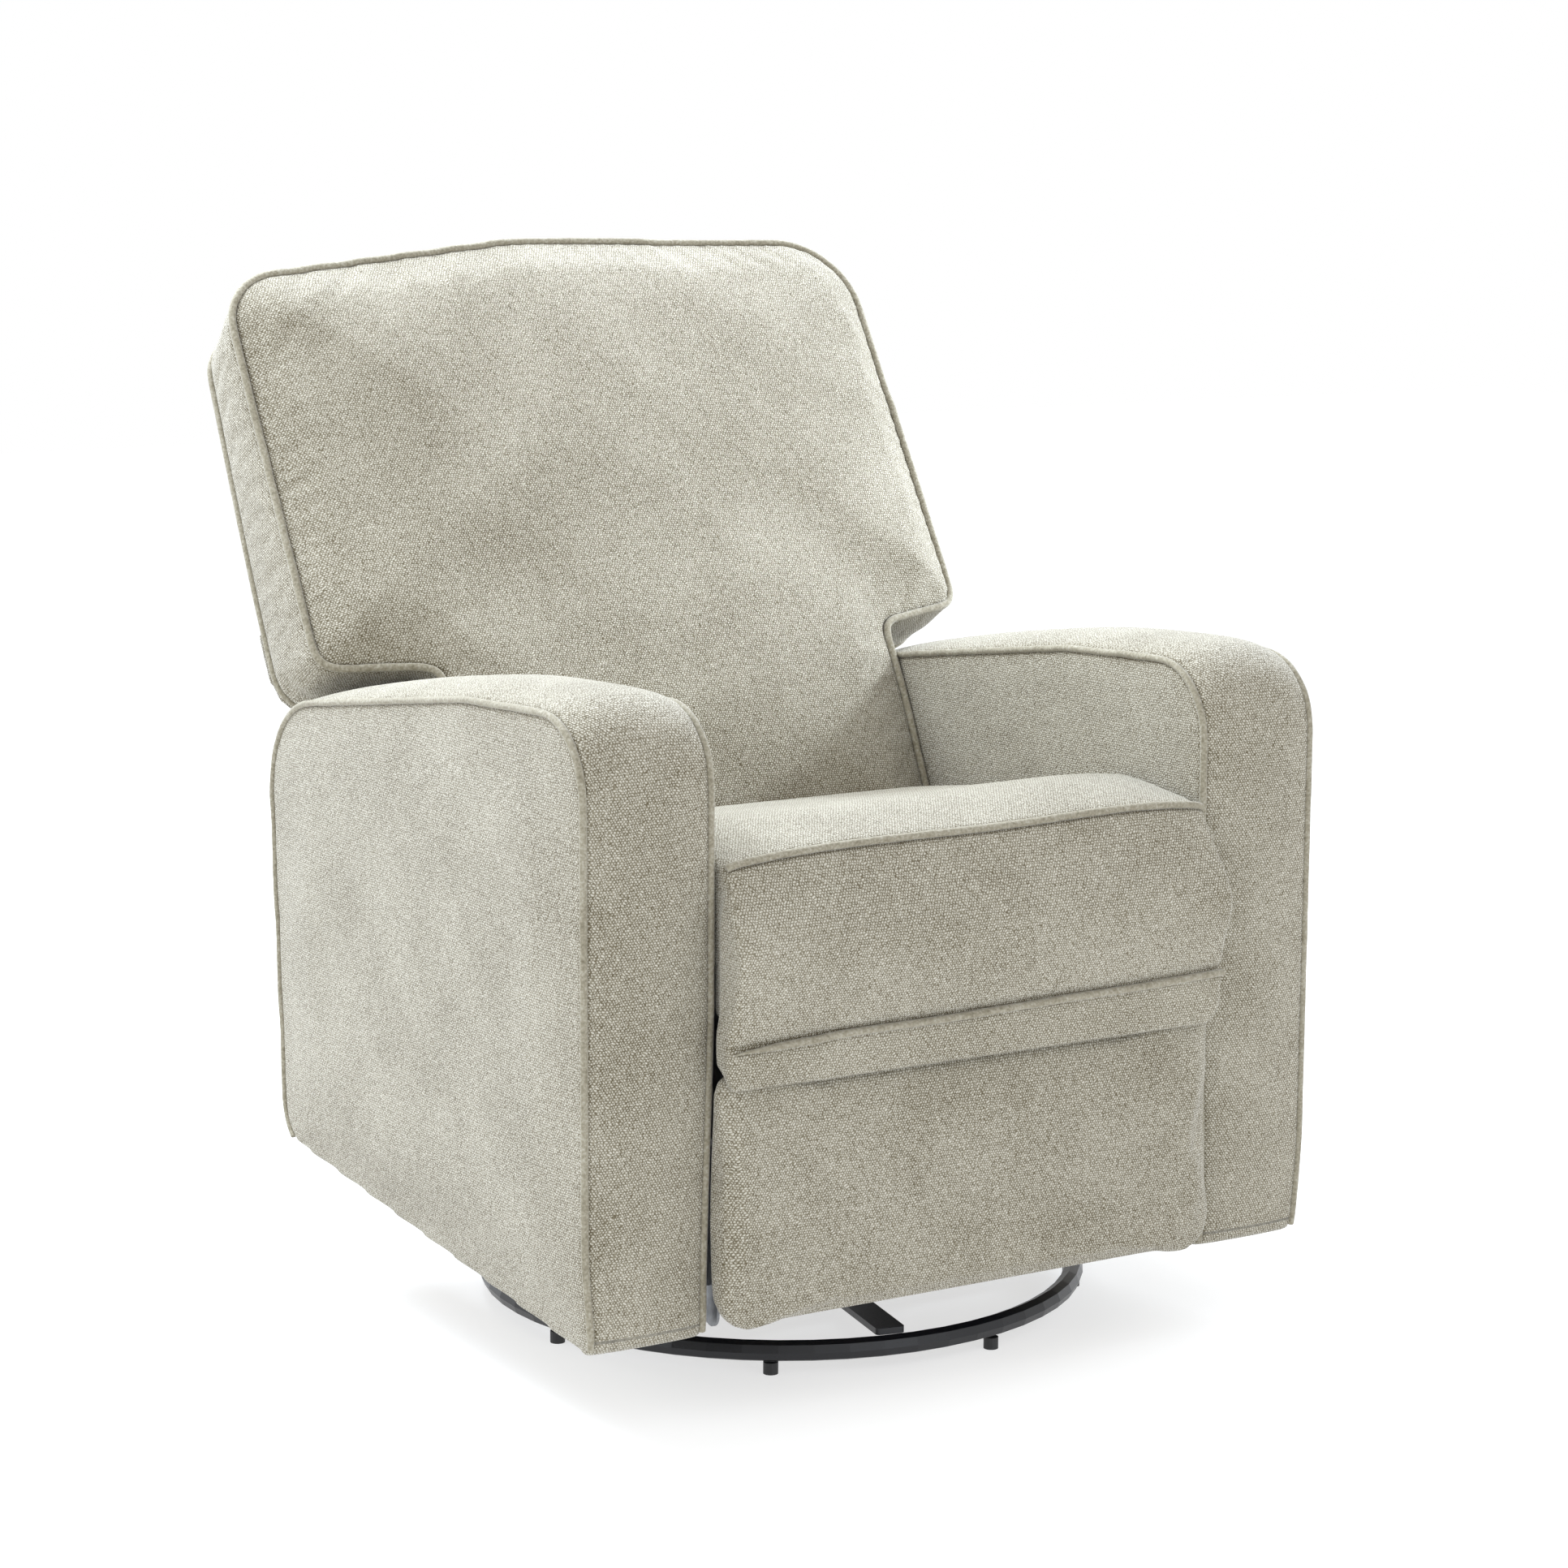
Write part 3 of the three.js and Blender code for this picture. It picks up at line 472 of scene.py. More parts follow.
def settle_on(path, obj, lift):
    """Lays a seam line on the finished cloth, its middle standing lift above the surface."""
    surface = BVHTree.FromObject(obj, bpy.context.evaluated_depsgraph_get())
    settled = []
    for point in path:
        place, normal, _, _ = surface.find_nearest(Vector(point))
        settled.append(place + normal * lift)
    return np.array(settled)


def reshape(obj, shape):
    set_points(obj, shape(get_points(obj)))


def mark_creases(obj, seams, reach=2.6 * MM, depth=1.6 * MM):
    """Pulls the cloth in beside each seam, a path and its cord's radius, and keeps how near each point is to
    a seam as a point attribute, which the cloth material turns into painted shade in the crease there."""
    points = get_points(obj)
    normals = np.empty(len(points) * 3)
    obj.data.vertices.foreach_get("normal", normals)
    closeness = np.zeros(len(points))
    for path, cord in seams:
        distance, _ = nearest_distance(points, path)
        closeness = np.maximum(closeness, np.exp(-(np.maximum(distance - cord, 0) / reach) ** 2))
    set_points(obj, points - normals.reshape(-1, 3) * (closeness * depth)[:, None])
    # how near each point is to a seam, kept for the painted shade beside the seams
    layer = obj.data.attributes.new("painted_seam_shade", "FLOAT", "POINT")
    layer.data.foreach_set("value", closeness.astype(np.float32))


# %% Panels, noise and finishing


def soft_noise(points, size, seed):
    """Smooth noise from -1 to 1 with features of about the given size, from a few turned waves."""
    rng = np.random.default_rng(seed)
    total = np.zeros(len(points))
    for _ in range(9):
        direction = rng.normal(size=3)
        direction /= np.linalg.norm(direction)
        total += np.sin(points @ direction * (2 * math.pi / size) * rng.uniform(0.6, 1.5) + rng.uniform(0, 6.28))
    return np.clip(total / 4.5, -1, 1)


SIDE_FACING = 0.92  # a face whose normal is nearer the X axis than this belongs to a side panel


def panel_map(obj, strip=None):
    """A UV map in metres: each face is laid flat along the axis that it faces most, as a cut panel is.
    strip is the edge line, low X and high X of a long band of cloth, laid flat along its length instead."""
    mesh = obj.data
    layer = mesh.uv_layers.get("panel") or mesh.uv_layers.new(name="panel")
    points = get_points(obj)
    loops = np.empty(len(mesh.loops), dtype=np.int64)
    mesh.loops.foreach_get("vertex_index", loops)
    normals = np.empty(len(mesh.polygons) * 3)
    mesh.polygons.foreach_get("normal", normals)
    sizes = np.empty(len(mesh.polygons), dtype=np.int64)
    mesh.polygons.foreach_get("loop_total", sizes)
    facing = np.repeat(np.abs(normals.reshape(-1, 3)).argmax(axis=1), sizes)
    corners = points[loops]
    flat = np.where((facing == 0)[:, None], corners[:, [1, 2]], corners[:, [0, 2]])
    flat = np.where((facing == 2)[:, None], corners[:, [0, 1]], flat)
    if strip is not None:
        line, low, high = strip
        level = points * np.array([0, 1, 1])
        _, index = nearest_distance(level, line)
        ahead = np.roll(line, -1, axis=0) - line
        ahead /= np.linalg.norm(ahead, axis=1, keepdims=True)
        travel = np.concatenate([[0], np.cumsum(np.linalg.norm(np.diff(line, axis=0), axis=1))])
        along = travel[index] + np.sum((level - line[index]) * ahead[index], axis=1)
        middles = np.empty(len(mesh.polygons) * 3)
        mesh.polygons.foreach_get("center", middles)
        middle_x = np.repeat(middles[0::3], sizes)
        edge_on = np.repeat(np.abs(normals[0::3]) < SIDE_FACING, sizes)
        on_strip = (middle_x > low) & (middle_x < high) & edge_on
        flat = np.where(on_strip[:, None], np.column_stack([corners[:, 0], along[loops]]), corners[:, [1, 2]])
    layer.data.foreach_set("uv", flat.ravel())


def place_piece(obj, matrix):
    obj.data.transform(matrix)
    obj.data.update()


def finish_piece(obj, material, body, matrix=None):
    for polygon in obj.data.polygons:
        polygon.use_smooth = True
    obj.data.materials.clear()
    obj.data.materials.append(material)
    if matrix is not None:
        place_piece(obj, matrix)
    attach(obj, body)
    print(obj.name, len(obj.data.polygons), "faces")


def subdivide(obj):
    modifier = obj.modifiers.new("Subdivision", "SUBSURF")
    modifier.levels = modifier.render_levels = 1
    bake_modifiers(obj)


# %% [markdown]
# ## Piping
# Piping is a cord wrapped in a bias strip of the same cloth and sewn into the seam. One Geometry Nodes tree
# makes all of it: it resamples a seam line, sweeps a slightly flat round along it, and lets its thickness
# wander by a few per cent, because a sewn cord is never quite even.

# %% The piping tree


def new_geometry_tree(name, labels):
    """A Geometry Nodes tree that is given a geometry, the labelled numbers and a material."""
    tree = bpy.data.node_groups.new(name, "GeometryNodeTree")
    face = tree.interface
    face.new_socket("Geometry", in_out="INPUT", socket_type="NodeSocketGeometry")
    for label in labels:
        face.new_socket(label, in_out="INPUT", socket_type="NodeSocketFloat")
    face.new_socket("Material", in_out="INPUT", socket_type="NodeSocketMaterial")
    face.new_socket("Geometry", in_out="OUTPUT", socket_type="NodeSocketGeometry")
    return tree, add_node(tree, "NodeGroupInput").outputs


def end_tree(tree, geometry, material):
    """Makes the geometry real, gives it the material and sends it out of the tree."""
    solid = add_node(tree, "GeometryNodeRealizeInstances", {0: geometry}).outputs[0]
    dressed = add_node(tree, "GeometryNodeSetMaterial", {0: solid, "Material": material}).outputs[0]
    add_node(tree, "NodeGroupOutput", {0: dressed})


def piping_tree():
    tree, given = new_geometry_tree("piping", ("Radius", "Step", "Flatness", "Taper"))
    line = add_node(tree, "GeometryNodeMeshToCurve", {0: given["Geometry"]}).outputs[0]
    even = add_node(tree, "GeometryNodeResampleCurve", {"Curve": line, "Length": given["Step"]}, mode="LENGTH")
    wander = add_node(tree, "ShaderNodeTexNoise", {"Scale": 38.0, "Detail": 1.0}).outputs[0]
    swing = maths(tree, "MULTIPLY_ADD", wander, 0.22, 0.89)
    part = add_node(tree, "GeometryNodeSplineParameter").outputs["Factor"]
    opening = add_node(tree, "ShaderNodeMapRange", {"Value": part, "From Max": given["Taper"]})
    opening.inputs["From Min"].default_value = -0.001
    opening.inputs["To Min"].default_value = 0.12
    swing = maths(tree, "MULTIPLY", swing, opening.outputs[0])
    thick = add_node(tree, "GeometryNodeSetCurveRadius", {"Curve": even.outputs[0], "Radius": swing}).outputs[0]
    ring = add_node(tree, "GeometryNodeCurvePrimitiveCircle", {"Resolution": 10, "Radius": given["Radius"]})
    squeeze = add_node(tree, "ShaderNodeCombineXYZ", {0: 1.0, 1: given["Flatness"], 2: 1.0}).outputs[0]
    section = add_node(
        tree, "GeometryNodeTransform", {"Geometry": ring.outputs[0], "Scale": squeeze}).outputs[0]
    tube = add_node(tree, "GeometryNodeCurveToMesh", {
        "Curve": thick, "Profile Curve": section, "Fill Caps": True,
        "Scale": add_node(tree, "GeometryNodeInputRadius").outputs[0]})
    end_tree(tree, tube.outputs[0], given["Material"])
    return tree


PIPING = piping_tree()


def grow(obj, tree, **values):
    """Runs a Geometry Nodes tree on an object and keeps the plain mesh that comes out."""
    modifier = obj.modifiers.new("Nodes", "NODES")
    modifier.node_group = tree
    for item in tree.interface.items_tree:
        if item.item_type == "SOCKET" and item.in_out == "INPUT" and item.name in values:
            modifier[item.identifier] = values[item.name]
    bake_modifiers(obj)


def piping(name, path, body, matrix=None, radius=4.0 * MM, closed=True, flatness=0.9, taper=0.0):
    """Piping along a path of 3D points."""
    count = len(path)
    edges = [(i, i + 1) for i in range(count - 1)] + ([(count - 1, 0)] if closed else [])
    mesh = bpy.data.meshes.new(name)
    mesh.from_pydata([tuple(p) for p in path], edges, [])
    cord = bpy.data.objects.new(name, mesh)
    scene.collection.objects.link(cord)
    grow(cord, PIPING, Radius=radius, Step=4 * MM, Flatness=flatness, Taper=taper, Material=bias_piping)
    panel_map(cord)
    finish_piece(cord, bias_piping, body, matrix)
    return cord


def ease_path(path, rounds, closed=True):
    """Rounds off a path's sharpest turns, as a stiff cord does."""
    path = path.copy()
    for _ in range(rounds):
        if closed:
            path = path * 0.5 + (np.roll(path, 1, axis=0) + np.roll(path, -1, axis=0)) * 0.25
        else:
            path[1:-1] = path[1:-1] * 0.5 + (path[:-2] + path[2:]) * 0.25
    return path


# %% [markdown]
# ## The back cushion
# The back is one thick T: narrow between the arms, with ears that reach out above them. Its front cover is
# sewn to a side strip with piping, and the stuffing pushes the middle of the front far out, so the piping
# lies in a valley. It is modelled upright in its own space, X across, Y to the rear, Z up from the hinge, and
# leant back at the end.

# %% The back's outline
# The top of a stuffed back is never quite level: this one settles a little towards the occupant's right.
LEAN = math.radians(31)
HINGE = Vector(JOINTS["recline"]["pos_m"])
BACK_PLACE = Matrix.Translation(HINGE) @ Matrix.Rotation(-LEAN, 4, "X")
BACK_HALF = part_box("back_cushion")[1][0]
WAIST = 258.5 * MM
BACK_TOP = 744 * MM
CORD = 4 * MM
BACK_BOTTOM = 24 * MM
BACK_FRONT = -50 * MM
BACK_REAR = 14 * MM


def t_outline(waist, bottom, ear_radius):
    return rounded_outline([
        (waist, bottom, 26 * MM), (waist, 274 * MM, 12 * MM),
        (BACK_HALF + 3 * MM, 302 * MM, ear_radius), (BACK_HALF - 4 * MM, BACK_TOP - 6 * MM, 86 * MM),
        (-30 * MM, BACK_TOP + 4 * MM, 420 * MM), (-BACK_HALF + 6 * MM, BACK_TOP - 35 * MM, 62 * MM),
        (-BACK_HALF + 1 * MM, 281 * MM, ear_radius), (-waist, 262 * MM, 12 * MM), (-waist, bottom, 26 * MM)])


back_edge = t_outline(WAIST, BACK_BOTTOM, 26 * MM)
upper_edge = t_outline(WAIST - 6 * MM, 80 * MM, 40 * MM)
front_seam = np.column_stack([back_edge[:, 0], np.full(len(back_edge), BACK_FRONT), back_edge[:, 1]])
rear_seam = np.column_stack([upper_edge[:, 0], np.full(len(upper_edge), BACK_REAR), upper_edge[:, 1]])
print("front seam of the back", round(float(np.linalg.norm(np.diff(front_seam, axis=0), axis=1).sum()), 2), "m")

# %% The back's depth at each point


def rear_depth(height):
    """How far the rear edge stands behind the hinge plane: the side strip widens towards the ears' foot."""
    return (2 + 25 * smooth((BACK_TOP - height) / (430 * MM))) * MM * smooth((height - 200 * MM) / (60 * MM))


def front_lift(points):
    """How far the front seam stands forward of the ears' seam: the arms push the waist forward."""
    across = np.clip((BACK_HALF - np.abs(points[:, 0])) / (108 * MM), 0, 1) ** 0.75
    lift = 35 * MM - 15 * MM * smooth((243 * MM - points[:, 2]) / (190 * MM))
    return lift * across * smooth((440 * MM - points[:, 2]) / (190 * MM))


def seam_distance(points):
    flat = points[:, [0, 2]]
    return np.min(np.linalg.norm(flat[:, None, :] - back_edge[None, ::3, :], axis=2), axis=1)


def shape_back(points):
    rear = np.clip((points[:, 1] - BACK_FRONT) / (BACK_REAR - BACK_FRONT), 0, 1)
    front = 1 - rear
    lift = front_lift(points)
    crown = np.maximum(47 * MM - 0.9 * lift, 8 * MM) * (1 - np.exp(-seam_distance(points) / (88 * MM)))
    shaped = points.copy()
    shaped[:, 1] += rear * rear_depth(points[:, 2]) - front * lift - smooth((front - 0.6) / 0.35) * crown
    upper = smooth((points[:, 2] - 540 * MM) / (200 * MM))
    shaped[:, 2] -= rear * upper * 32 * MM
    shaped[:, 0] *= 1 + rear * smooth((points[:, 2] - 240 * MM) / (60 * MM)) * 0.01
    return shaped


# %% Sew the back cushion


def joined(first, second):
    """Merges two overlapping slabs into one object, before a remesh makes them one skin."""
    work = bmesh.new()
    work.from_mesh(first.data)
    work.from_mesh(second.data)
    work.to_mesh(first.data)
    work.free()
    bpy.data.objects.remove(second)
    return first


def pucker(obj, path, depth, spacing, length, seed, strength=None):
    """Short creases that run in from a seam, as gathered cloth does. strength varies them along the path."""
    points = get_points(obj)
    normals = np.empty(len(points) * 3)
    obj.data.vertices.foreach_get("normal", normals)
    normals = normals.reshape(-1, 3)
    distance, index = nearest_distance(points, path)
    travel = np.concatenate([[0], np.cumsum(np.linalg.norm(np.diff(path, axis=0), axis=1))])[index]
    line = np.column_stack([travel, np.zeros_like(travel), np.zeros_like(travel)])
    phase = travel * 2 * math.pi / spacing + 2.6 * soft_noise(line, 90 * MM, seed) + distance * 22
    wave = np.maximum(np.sin(phase), -0.2) ** 2
    amount = 0.5 + 0.5 * soft_noise(line, 60 * MM, seed + 1)
    reach = length * (0.6 + 0.4 * soft_noise(line, 45 * MM, seed + 2))
    fade = np.exp(-distance / np.maximum(reach, 4 * MM)) * smooth(distance / (4 * MM))
    if strength is not None:
        amount = amount * strength(points)
    set_points(obj, points - normals * (depth * wave * amount * fade)[:, None])


def gathers(points):
    """The back's cloth is gathered most at the foot of the ears, where it turns into the waist."""
    return 0.2 + 0.8 * smooth((np.abs(points[:, 0]) - 0.20) / 0.12) * smooth((0.62 - points[:, 2]) / 0.25)


back_cushion = joined(
    slab("back_cushion_cover", back_edge, BACK_FRONT, -10 * MM, (0, 2, 1)),
    slab("back_upper_stuffing", upper_edge, BACK_FRONT + 8 * MM, BACK_REAR, (0, 2, 1)))
remesh(back_cushion, 6 * MM)
soften(back_cushion, 2)
swell(back_cushion, near(back_cushion, np.vstack([front_seam, rear_seam])), pressure=3.0, cap=9 * MM, spare=0.01)
reshape(back_cushion, shape_back)
front_line, rear_line = shape_back(front_seam), shape_back(rear_seam)
subdivide(back_cushion)
pucker(back_cushion, front_line, 3.0 * MM, 21 * MM, 26 * MM, seed=3, strength=gathers)
mark_creases(back_cushion, [(front_line, CORD), (rear_line, CORD)])
panel_map(back_cushion)
back_lines = [settle_on(line, back_cushion, 2.8 * MM) for line in (front_line, rear_line)]
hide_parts("back_cushion")
finish_piece(back_cushion, chenille, "back", BACK_PLACE)

# %% Piping round the back's front and rear seams
piping("back_front_piping", ease_path(back_lines[0], 3), "back", BACK_PLACE, radius=4.4 * MM)
piping("back_rear_piping", ease_path(back_lines[1], 3), "back", BACK_PLACE, radius=3.8 * MM)

# %% [markdown]
# ## The rear panel
# The back is closed by one flat upholstered panel, piped where it meets the side strip.

# %% Sew the rear panel
PANEL_THICK = 12 * MM
foot_edge = rounded_outline(mirrored([(235 * MM, -44 * MM, 12 * MM), (235 * MM, 120 * MM, 8 * MM)]))
panel_edge = t_outline(WAIST - 6 * MM, 46 * MM, 40 * MM)
outer_back = joined(
    slab("outer_back_panel", panel_edge, BACK_REAR, BACK_REAR + PANEL_THICK, (0, 2, 1)),
    slab("outer_back_foot", foot_edge, BACK_REAR, BACK_REAR + PANEL_THICK, (0, 2, 1)))
remesh(outer_back, 7 * MM)
soften(outer_back, 2)
outer_seam = np.column_stack([panel_edge[:, 0], np.full(len(panel_edge), BACK_REAR), panel_edge[:, 1]])
swell(outer_back, near(outer_back, outer_seam), pressure=1.5, cap=6 * MM)
reshape(outer_back, shape_back)
mark_creases(outer_back, [(rear_line, CORD)])
panel_map(outer_back)
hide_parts("outer_back")
finish_piece(outer_back, chenille, "back", BACK_PLACE)

# %% [markdown]
# ## The arms
# Each arm is a plywood panel wrapped in foam: an outer side, an inner side, and one long strip that runs up
# the front, over the top and down the rear. Piping joins the strip to both sides. The top falls a little to
# the rear, and the lower edge rises to the rear.

# %% The arm's outline
ARM_LOW, ARM_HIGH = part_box("arm_pad_left")
ARM_FRONT, ARM_REAR = ARM_LOW[1] + 3 * MM, ARM_HIGH[1] - 5 * MM
ARM_INNER, ARM_OUTER = -ARM_HIGH[0], -ARM_LOW[0]
ARM_MIDDLE = (ARM_INNER + ARM_OUTER) / 2
FOOT_FRONT, FOOT_REAR = 70 * MM, 131 * MM
arm_edge = rounded_outline([
    (ARM_FRONT, FOOT_FRONT, 12 * MM), (ARM_REAR - 15 * MM, FOOT_REAR, 34 * MM),
    (ARM_REAR + 10 * MM, 561 * MM, 100 * MM), (-195 * MM, 620 * MM, 400 * MM), (ARM_FRONT, 631 * MM, 70 * MM)])


def arm_bulge(points):
    """The strip between the two piped edges is crowned, most on top of the arm and a little down its front.
    Towards the floor the arm gets narrower."""
    shaped = points.copy()
    side = np.abs(np.abs(points[:, 0]) - ARM_MIDDLE) / (ARM_OUTER - ARM_MIDDLE)
    crown = 1 - np.clip(side, 0, 1) ** 2.4
    top = smooth((points[:, 2] - 545 * MM) / (60 * MM))
    front = smooth((ARM_FRONT + 40 * MM - points[:, 1]) / (40 * MM))
    shaped[:, 2] += top * crown * 15 * MM
    shaped[:, 1] -= front * crown * 4 * MM
    inner = np.clip((ARM_MIDDLE - np.abs(points[:, 0])) / (ARM_MIDDLE - ARM_INNER), 0, 1)
    outer = np.clip((np.abs(points[:, 0]) - ARM_MIDDLE) / (ARM_OUTER - ARM_MIDDLE), 0, 1)
    shaped[:, 0] += np.sign(points[:, 0]) * (
        inner * smooth((400 * MM - points[:, 2]) / (300 * MM)) * 8 * MM
        - outer * smooth((170 * MM - points[:, 2]) / (100 * MM)) * 6 * MM)
    return shaped


def open_edge(path):
    """The piping runs up the front, over the top and down the rear, and tucks under at both ends."""
    slope = (FOOT_REAR - FOOT_FRONT) / (ARM_REAR - ARM_FRONT)
    above = path[:, 2] - FOOT_FRONT - slope * (path[:, 1] - ARM_FRONT) > 4 * MM
    start = np.nonzero(above & ~np.roll(above, 1))[0][0]
    return np.roll(path, -start, axis=0)[:above.sum()]


# %% Sew the arms


def sew_arm(name, side):
    low, high = sorted((side * (ARM_INNER + 1 * MM), side * (ARM_OUTER + 2 * MM)))
    arm = slab(f"arm_{name}_cover", arm_edge, low, high, (1, 2, 0))
    remesh(arm, 6 * MM)
    soften(arm, 1)
    seams = [np.column_stack([np.full(len(arm_edge), x), arm_edge]) for x in (low, high)]
    swell(arm, near(arm, np.vstack(seams)), pressure=2.2, cap=5 * MM)
    reshape(arm, arm_bulge)
    points = get_points(arm)
    points[:, 0] = side * np.clip(side * points[:, 0], ARM_INNER - 0.5 * MM, ARM_OUTER + 7 * MM)
    set_points(arm, points)
    subdivide(arm)
    lines = [open_edge(arm_bulge(seam)) for seam in seams]
    for number, line in enumerate(lines):
        pucker(arm, line, 1.2 * MM, 27 * MM, 13 * MM, seed=20 + 5 * number + side)
    mark_creases(arm, [(line, 3 * MM) for line in lines])
    panel_map(arm, strip=(seams[0] * np.array([0, 1, 1]), low + 1.5 * MM, high - 1.5 * MM))
    lines = [settle_on(line, arm, 2.0 * MM) for line in lines]
    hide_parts(f"arm_pad_{name}")
    finish_piece(arm, chenille, "chassis")
    for line in lines:
        edge_name = "outer" if abs(line[0, 0]) > ARM_MIDDLE else "inner"
        piping(f"arm_{name}_{edge_name}_piping", ease_path(line, 3, closed=False), "chassis",
               radius=3.6 * MM, closed=False)


for arm_name, arm_side in (("left", -1), ("right", 1)):
    sew_arm(arm_name, arm_side)

# %% [markdown]
# ## The seat
# The seat is one long cushion. Its top is piped to a front that bulges out, is tucked in by a long pleat and
# ends in a short flap over the top of the leg rest. The ends are pinched between the arms.

# %% The seat's side outline
SEAT_LOW, SEAT_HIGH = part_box("seat_cushion")
SEAT_FRONT = SEAT_LOW[1]
SEAT_HALF = SEAT_HIGH[0]
SEAT_WELT = (SEAT_FRONT + 33 * MM, 493 * MM)
PLEAT_Z = 345 * MM
FLAP_Z = 298 * MM
seat_edge = rounded_outline([
    (SEAT_FRONT + 19 * MM, FLAP_Z, 8 * MM), (SEAT_FRONT + 20 * MM, 315 * MM, 3 * MM),
    (SEAT_FRONT + 36 * MM, 316 * MM, 4 * MM), (SEAT_FRONT + 38 * MM, 356 * MM, 3 * MM),
    (SEAT_FRONT + 54 * MM, 358 * MM, 3 * MM), (SEAT_FRONT + 54 * MM, 412 * MM, 12 * MM),
    (-8 * MM, 388 * MM, 8 * MM), (24 * MM, 450 * MM, 18 * MM),
    (-300 * MM, 505 * MM, 60 * MM), SEAT_WELT + (8 * MM,), (SEAT_FRONT - 2 * MM, 425 * MM, 60 * MM),
    (SEAT_FRONT + 5 * MM, PLEAT_Z, 20 * MM), (SEAT_FRONT + 3 * MM, FLAP_Z, 8 * MM)], step=5 * MM)


def pleat_height(points):
    """The pleat climbs a little from the occupant's right to their left, and wanders."""
    wave = soft_noise(points * np.array([1, 0, 0]), 170 * MM, 8)
    return PLEAT_Z + 6 * MM * points[:, 0] / SEAT_HALF + wave * 2.0 * MM


def seat_shape(points):
    shaped = points.copy()
    across = np.abs(points[:, 0]) / SEAT_HALF
    middle = 1 - np.minimum(across, 1) ** 4
    top = smooth((points[:, 2] - 440 * MM) / (50 * MM))
    lean = smooth((ARM_FRONT + 250 * MM - points[:, 1]) / (200 * MM))
    front = smooth((SEAT_FRONT + 34 * MM - points[:, 1]) / (24 * MM))
    roll = np.exp(-((points[:, 2] - 418 * MM) / (50 * MM)) ** 2)
    crest = np.exp(-((points[:, 1] - SEAT_WELT[0] - 75 * MM) / (70 * MM)) ** 2)
    shaped[:, 2] += top * (6 * MM * middle * lean + 12 * MM * crest * middle)
    shaped[:, 2] += top * lean * 8 * MM * smooth(points[:, 0] / SEAT_HALF)
    shaped[:, 1] -= front * roll * 10 * MM
    tuck = np.exp(-((points[:, 2] - pleat_height(points)) / (5 * MM)) ** 2)
    shaped[:, 1] += front * tuck * 4.5 * MM * smooth((1.0 + points[:, 0] / SEAT_HALF) / 0.05)
    clear = smooth((ARM_FRONT - 5 * MM - points[:, 1]) / (8 * MM))
    low = smooth((PLEAT_Z + 25 * MM - points[:, 2]) / (25 * MM))
    tip = smooth((320 * MM - points[:, 2]) / (22 * MM))
    below_welt = smooth((485 * MM - points[:, 2]) / (45 * MM))
    left_end = below_welt * 8 + low * 4 - tip * 3
    right_end = below_welt * 2 + roll * 3 + low * 2 - tip * 10
    wide = clear * np.where(points[:, 0] < 0, left_end, right_end) * MM
    shaped[:, 0] += np.sign(points[:, 0]) * wide * smooth((across - 0.8) / 0.2)
    return shaped


# %% Sew the seat
SEAT_CUT = SEAT_HALF - 3 * MM
seat = slab("seat_cushion_cover", seat_edge, -SEAT_CUT, SEAT_CUT, (1, 2, 0))
remesh(seat, 5 * MM)
soften(seat, 1)
width_steps = np.linspace(-SEAT_CUT, SEAT_CUT, 120)


def across_line(y, z):
    return np.column_stack([width_steps, np.full(len(width_steps), y), np.full(len(width_steps), z)])


seat_seam = across_line(*SEAT_WELT)
seat_ends = [np.column_stack([np.full(len(seat_edge), x), seat_edge]) for x in (-SEAT_CUT, SEAT_CUT)]
seat_underside = across_line(SEAT_FRONT + 54 * MM, 400 * MM)
seat_held = near(seat, np.vstack([seat_seam, *seat_ends, seat_underside])) | (get_points(seat)[:, 2] < PLEAT_Z)
swell(seat, seat_held, pressure=3.0, cap=5 * MM)
reshape(seat, seat_shape)
points = get_points(seat)
free_end = smooth((ARM_FRONT - 4 * MM - points[:, 1]) / (10 * MM))
limit = SEAT_HALF - 0.5 * MM + free_end * 11 * MM
set_points(seat, np.column_stack([np.clip(points[:, 0], -limit, limit), points[:, 1:]]))
subdivide(seat)
seat_line = seat_shape(seat_seam)
tuck_line = across_line(SEAT_FRONT + 5 * MM, PLEAT_Z)[1:]
tuck_line[:, 2] = pleat_height(tuck_line)
tuck_line = seat_shape(tuck_line)
pucker(seat, seat_line, 1.5 * MM, 30 * MM, 16 * MM, seed=41)
mark_creases(seat, [(seat_line, CORD), (tuck_line, 0.5 * MM)])
panel_map(seat)
seat_line = settle_on(seat_line, seat, 2.2 * MM)
pleat_line = settle_on(tuck_line - np.array([0, 0, 5.5 * MM]), seat, 1.6 * MM)
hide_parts("seat_cushion")
finish_piece(seat, chenille, "chassis")
piping("seat_front_piping", ease_path(seat_line, 2, closed=False), "chassis", closed=False)

# %% The long pleat under the front roll
pleat_line = ease_path(pleat_line, 4, closed=False)
piping("seat_front_pleat", pleat_line, "chassis", radius=5.0 * MM, closed=False, flatness=0.7, taper=0.08)

# %% [markdown]
# ## The leg-rest pad
# A plywood board carries a thin pad, round at its lower corners. Folded, it hangs upright under the seat flap.

